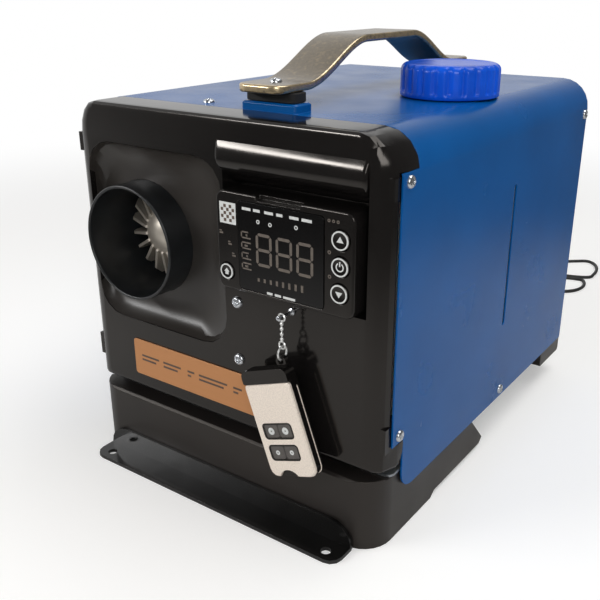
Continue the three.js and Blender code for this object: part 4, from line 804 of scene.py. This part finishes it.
class AIRHEATER_OT_fuel(bpy.types.Operator):
    """Makes the filler cap and dresses the tank and the hose."""

    bl_idname = "airheater.fuel"
    bl_label = "Fuel side"

    def execute(self, context):
        dress("fuel_tank", "hdpe", 0.6, 28)
        low, high = box_of("fuel_cap")
        groove = context.scene.air_heater_sizes.cap_groove / MM
        mesh = shaped("filler_cap", filler_cap((low + high) / 2, groove), 50)
        place("filler_cap", mesh, "cap_pp", "cap", ("fuel_cap",))
        dress_all(("cap_gasket", "rubber", 0.3), ("fuel_hose", "rubber", 0, 50))
        return {"FINISHED"}


# What is printed on the controller, in x and z. The signs are bars over the foot of an even or an odd row.
PRINT_LIFT = 0.05
DIGIT = {"width": 9.4, "height": 17.4, "stroke": 1.7}
DIGITS = [(38.4 + 13.9 * i, 167.4) for i in range(3)]
SIGN_FEET = [162.6 + 6.1 * row for row in range(4)]
SIGNS = (
    ((26.9, 0, 33.9, 0.8), (26.9, 3.4, 33.9, 4.2), (26.9, 0, 27.7, 4.2), (29.4, 1.4, 31.6, 2.6)),
    ((26.9, 0, 33.9, 0.8), (26.9, 3.4, 32.2, 4.2), (26.9, 0, 27.7, 4.2), (30.4, 1.4, 31.6, 2.6)),
)
LEVELS = [(38.2 + 4.3 * i, 157.2, 39.7 + 4.3 * i, 159.2 + 0.3 * i) for i in range(8)]
LAMPS = ((86.5, 183.6), (86.8, 170.2), (30.6, 188.4))
UPPER_DASHES = ((28.3, 34.4), (36.2, 40.9), (44, 50), (52.2, 56.4), (60.9, 67), (69, 75.6))
RINGS = ((39.4, 192), (47.8, 191.7), (65.3, 193.1))
LOWER_DASHES = ((44.7, 48.6), (50.2, 54.6), (56, 64.3))
PATCH = (11.6, 187.4, 23.4, 199.8)
CELLS = [(12.6 + 2 * a, 188.6 + 2.02 * b) for a in range(5) for b in range(5) if (a + b) % 2]
SIDE_MARKS = ((12.2, 181.4), (18.4, 175.6), (21.0, 169.0))
TOP_RINGS = (86.2, 89.0, 91.8)


class AIRHEATER_OT_controller(bpy.types.Operator):
    """Dresses the controller and prints its display and plain marks."""

    bl_idname = "airheater.controller"
    bl_label = "Controller"

    def execute(self, context):
        dress_all(("controller_housing", "gloss_abs", 0.35, 30), ("controller_window", "acrylic", 0.1, 30))
        lift, low = WINDOW_Y - PRINT_LIFT, HOUSING_Y - PRINT_LIFT
        shapes = []
        for x, z in DIGITS:
            shapes += segment_digit(x, z, **DIGIT, lift=lift)
        for row, foot in enumerate(SIGN_FEET):
            shapes += [bar(x0, foot + z0, x1, foot + z1, lift) for x0, z0, x1, z1 in SIGNS[row % 2]]
        shapes += [bar(*corners, lift) for corners in LEVELS]
        shapes += [ring_shape(x, z, 1.1, 0.5, HOUSING_Y - 0.04, count=12) for x, z in LAMPS]
        joined("display_segments", shapes, "segment")
        marks = [bar(left, 197.3, right, 198.9, lift) for left, right in UPPER_DASHES]
        marks += [ring_shape(x, z, 1.2, 0.6, lift, count=16) for x, z in RINGS]
        marks += [bar(left, 150.9, right, 152.3, lift) for left, right in LOWER_DASHES]
        joined("display_marks", marks, "ink")
        # A pale square of plain checks beside the window.
        joined("patch_ground", [bar(*PATCH, low)], "ink")
        checks = [bar(x, z, x + 1.8, z + 1.8, HOUSING_Y - 0.12) for x, z in CELLS]
        joined("patch_checks", checks, "label_ink")
        small = []
        for x, z in SIDE_MARKS:
            small.append(bar(x - 1.3, z - 0.5, x + 1.3, z + 0.5, low))
            small.append(bar(x - 1.3, z + 1.0, x + 0.4, z + 1.7, low))
        small += [ring_shape(x, 200.6, 0.9, 0.4, low, count=12) for x in TOP_RINGS]
        joined("housing_marks", small, "segment")
        return {"FINISHED"}


class AIRHEATER_OT_keys(bpy.types.Operator):
    """Dresses the controller's four keys and prints a ring and a sign on each."""

    bl_idname = "airheater.keys"
    bl_label = "Controller keys"

    # The middle of each key in x and z, and its radius.
    KEYS = {
        "home": (15.9, 159, 5), "up": (93.6, 191.2, 5.6),
        "power": (93.6, 176.8, 5.6), "down": (93.2, 161.9, 5.6),
    }

    def sign(self, name, x, z, lift):
        """A triangle up or down, an open ring with a bar, or a small house."""
        if name == "power":
            arc = ring_shape(x, z, 2.5, 1.8, lift, start=120, end=420, count=24)
            return [arc, bar(x - 0.4, z + 0.4, x + 0.4, z + 3, lift)]
        if name == "home":
            roof = [(x - 1.9, z - 0.2), (x + 1.9, z - 0.2), (x, z + 2)]
            return [flat_shape(roof, lift), bar(x - 1.2, z - 1.9, x + 1.2, z - 0.1, lift)]
        up = 1 if name == "up" else -1
        points = [(x - 2.2, z - 1.1 * up), (x + 2.2, z - 1.1 * up), (x, z + 2.2 * up)]
        return [flat_shape(points[::up], lift)]

    def execute(self, context):
        for name, (x, z, radius) in self.KEYS.items():
            node = "controller_button_" + name
            dress(node, "gloss_abs", 0.15, 30)
            shapes = [ring_shape(x, z, radius - 0.45, radius - 1.25, HOUSING_Y - 1.12, 0.5, count=40)]
            shapes += self.sign(name, x, z, HOUSING_Y - 0.85)
            joined(node + "_print", shapes, "ink", BODY_OF[node])
        return {"FINISHED"}


class AIRHEATER_OT_labels(bpy.types.Operator):
    """Dresses the label plate and prints its plain bars."""

    bl_idname = "airheater.labels"
    bl_label = "Labels"

    BARS = ((-70, -54), (-50, -34), (-28, -22), (-18, 6), (11, 18))

    def execute(self, context):
        dress("label_plate", "copper_film", 0.12)
        lift = PANEL_Y - 1.16
        bars = []
        for left, right in self.BARS:
            bars += [bar(left, 78.2, right, 79.6, lift), bar(left, 75.2, right - 3, 76.6, lift)]
        joined("label_bars", bars, "label_ink", "case")
        return {"FINISHED"}


class AIRHEATER_OT_fob(bpy.types.Operator):
    """Dresses the key fob, with dark rims round its keys and a pale dot on each."""

    bl_idname = "airheater.fob"
    bl_label = "Key fob"

    # The middle heights of the two rims and the outline of the trim, from the fob's own middle.
    RIMS = (0.0, -13.7)
    TRIM = (-17.5, 17.5, -29.3, 29.0, 5)

    def execute(self, context):
        dress_all(("remote_body", "gloss_abs", 0.4, 30), ("remote_face", "silver", 0.35, 30))
        dress("chain_hook", "zinc", 0, 40)
        for corner in ("upper_left", "upper_right", "lower_left", "lower_right"):
            node = "remote_button_" + corner
            dress(node, "key_rubber", 0.25, 30)
            low, high = box_of(node)
            x, _, z = (low + high) / 2
            outer = 2.3 if corner.startswith("upper") else 1.5
            dot = [ring_shape(x, z, outer, 0.5, low[1] - 0.05, count=20)]
            joined(node + "_dot", dot, "ink", BODY_OF[node])
        rims = []
        for v in self.RIMS:
            outer = rounded_oblong(-12.9, 9.9, v - 5.2, v + 5.2, 2.6)
            inner = rounded_oblong(-11.9, 8.9, v - 4.3, v + 4.3, 1.7)
            rims.append(frame_shape(outer, inner, FOB_Y - 0.12, 0.4))
        joined("fob_window_rims", rims, "gloss_abs", "remote", on_fob)
        line = rounded_oblong(*self.TRIM)
        loop = on_fob(np.column_stack([line[:, 0], np.full(len(line), FOB_Y + 6.4), line[:, 1]]))
        trim = finish_mesh(mesh_of("fob_trim", *tube(loop, 0.35, 8, closed=True)))
        place("fob_trim", trim, "silver", "remote")
        dress_all(("key_chain", "chain_steel", 0, 50), ("key_ring", "chain_steel", 0, 50))
        return {"FINISHED"}


class AIRHEATER_OT_screws(bpy.types.Operator):
    """Makes the pan-head screws, each with a domed head and a cross recess."""

    bl_idname = "airheater.screws"
    bl_label = "Screws"

    def execute(self, context):
        for node in frame["nodes"]:
            if "screw" not in node:
                continue
            axis, sign = 2, 1
            if node.startswith("panel"):
                axis, sign = 1, -1
            if "left" in node or "right" in node:
                axis, sign = 0, 1 if "right" in node else -1
            mesh = shaped("pan_" + node, pan_screw(*box_of(node), axis, sign), 55)
            place("pan_" + node, mesh, "zinc", BODY_OF[node], (node,))
        return {"FINISHED"}


# The stage: half the floor's side in mm, and how far out in metres the paper turns into the backdrop for the
# camera and into the dim room in reflections.
FLOOR_HALF = 9000
BACKDROP_FROM = (0.45, 1.3)
ROOM_FROM = (0.34, 0.75)
# Which way the room is bright in reflections, and how bright it is the other way and that way.
BRIGHT_WAY = (-0.9, 0.45, 0.0)
ROOM_RANGE = (0.12, 0.8)
# Each light's place and aim in metres, its size, and the setting that holds its power.
LIGHTS = {
    "overhead": ((0.45, 0.3, 1.5), (0, 0, 0.1), (1.1, 0.9), "key_power"),
    "front_strip": ((-0.87, -1.08, 0.71), (0.03, PANEL_Y * MM, 0.2), (0.8, 0.1), "strip_power"),
    "front_right": ((1.0, -1.2, 0.75), (0.05, 0, 0.15), (0.6, 0.8), "fill_power"),
}


def room_behind(tree, way):
    """Brightness of the room in reflections, by direction: pale behind and left, dim in front and right."""
    towards = add_node(tree, "VectorMath", {"operation": "DOT_PRODUCT"}, {0: way, 1: BRIGHT_WAY})
    return mapped(tree, towards.outputs["Value"], 0.1, 0.8, *ROOM_RANGE, kind="SMOOTHSTEP")


def glow(tree, strength):
    """A shader that gives off white light."""
    inputs = {"Color": linear("ffffff"), "Strength": strength}
    return add_node(tree, "Emission", inputs=inputs).outputs["Emission"]


def blend(tree, share, first, second):
    """Mixes two shaders."""
    return add_node(tree, "MixShader", inputs={"Fac": share, 1: first, 2: second}).outputs["Shader"]


def either(tree, share, first, second):
    """Mixes two values."""
    return add_node(tree, "Mix", {"data_type": "FLOAT"}, {0: share, 2: first, 3: second}).outputs[0]


def paper(studio):
    """The floor's material.

    Near the object the paper keeps its shadow and is lifted to white for the camera, and further out it is
    the white backdrop. In reflections the paper ends closer by, and past it the room is as dim as the world.
    """
    material = bpy.data.materials.new("paper_sweep_white")
    tree = cleared(material)
    rays = add_node(tree, "LightPath").outputs
    spot = object_place(tree)
    distance = add_node(tree, "VectorMath", {"operation": "LENGTH"}, {0: spot}).outputs["Value"]
    far = mapped(tree, distance, *BACKDROP_FROM, kind="SMOOTHSTEP")
    edge = mapped(tree, distance, *ROOM_FROM, kind="SMOOTHSTEP")
    way = add_node(tree, "VectorMath", {"operation": "NORMALIZE"}, {0: spot}).outputs["Vector"]
    sheet = add_node(tree, "BsdfDiffuse", inputs={"Color": linear("e6e5e3")}).outputs["BSDF"]
    lift = {"Fac": rays["Is Camera Ray"], 2: glow(tree, studio.floor_lift)}
    seen = add_node(tree, "MixShader", inputs=lift).outputs["Shader"]
    lifted = add_node(tree, "AddShader", inputs={0: sheet, 1: seen}).outputs["Shader"]
    shown = maths(tree, "MULTIPLY", far, rays["Is Camera Ray"])
    mirrored = maths(tree, "MULTIPLY", edge, rays["Is Glossy Ray"])
    backdrop = blend(tree, shown, lifted, glow(tree, 1.0))
    mix = blend(tree, mirrored, backdrop, glow(tree, room_behind(tree, way)))
    add_node(tree, "OutputMaterial", inputs={"Surface": mix})
    return material


def add_world(studio):
    """White for the camera; bright behind and left and dim in front in reflections; else an even light."""
    world = bpy.data.worlds.new("studio")
    tree = cleared(world)
    rays = add_node(tree, "LightPath").outputs
    way = add_node(tree, "TexCoord").outputs["Generated"]
    mirrored = maths(tree, "MAXIMUM", rays["Is Glossy Ray"], rays["Is Transmission Ray"])
    dim = either(tree, mirrored, studio.room, room_behind(tree, way))
    inputs = {"Color": linear("ffffff"), "Strength": either(tree, rays["Is Camera Ray"], dim, 1.0)}
    sky = add_node(tree, "Background", inputs=inputs)
    add_node(tree, "OutputWorld", inputs={"Surface": sky.outputs["Background"]})
    return world


class AIRHEATER_OT_stage(bpy.types.Operator):
    """Builds the pale floor, the soft lights and the world."""

    bl_idname = "airheater.stage"
    bl_label = "Stage"

    def execute(self, context):
        studio = context.scene.air_heater_studio
        half = FLOOR_HALF
        corners = [(-half, -half, 0), (half, -half, 0), (half, half, 0), (-half, half, 0)]
        floor = linked("floor", mesh_of("floor", corners, [(0, 1, 2, 3)]))
        floor.data.materials.append(paper(studio))
        context.scene.world = add_world(studio)
        for name, (spot, aim, size, power) in LIGHTS.items():
            data = bpy.data.lights.new(name, "AREA")
            data.shape = "RECTANGLE"
            data.size, data.size_y = size
            data.energy = getattr(studio, power)
            lamp = linked(name, data)
            lamp.location = spot
            lamp.rotation_euler = (Vector(aim) - Vector(spot)).to_track_quat("-Z", "Y").to_euler()
        context.scene.view_settings.view_transform = "Standard"
        return {"FINISHED"}


class AIRHEATER_PT_panel(bpy.types.Panel):
    """Lists the settings and the operators."""

    bl_label = "Air heater"
    bl_space_type = "VIEW_3D"
    bl_region_type = "UI"
    bl_category = "Air heater"

    def draw(self, context):
        for group in ("air_heater_colours", "air_heater_sizes", "air_heater_studio"):
            settings = getattr(context.scene, group)
            for name in settings.__annotations__:
                self.layout.prop(settings, name)
        for operator in OPERATORS:
            self.layout.operator(operator.bl_idname)


GROUPS = {
    "air_heater_colours": AIRHEATER_PG_colours,
    "air_heater_sizes": AIRHEATER_PG_sizes,
    "air_heater_studio": AIRHEATER_PG_studio,
}
OPERATORS = (
    AIRHEATER_OT_lead, AIRHEATER_OT_case, AIRHEATER_OT_brow, AIRHEATER_OT_handle, AIRHEATER_OT_warm_air,
    AIRHEATER_OT_fuel, AIRHEATER_OT_controller, AIRHEATER_OT_keys, AIRHEATER_OT_labels, AIRHEATER_OT_fob,
    AIRHEATER_OT_screws, AIRHEATER_OT_stage,
)


def register():
    for group in GROUPS.values():
        bpy.utils.register_class(group)
    for name, group in GROUPS.items():
        setattr(bpy.types.Scene, name, PointerProperty(type=group))
    for entry in (*OPERATORS, AIRHEATER_PT_panel):
        bpy.utils.register_class(entry)


def unregister():
    for entry in reversed((*OPERATORS, AIRHEATER_PT_panel)):
        bpy.utils.unregister_class(entry)
    for name, group in GROUPS.items():
        delattr(bpy.types.Scene, name)
        bpy.utils.unregister_class(group)


def main():
    register()
    make_materials(bpy.context.scene.air_heater_colours)
    add_camera()
    for operator in OPERATORS:
        group, name = operator.bl_idname.split(".")
        getattr(getattr(bpy.ops, group), name)()


if __name__ == "__main__":
    main()
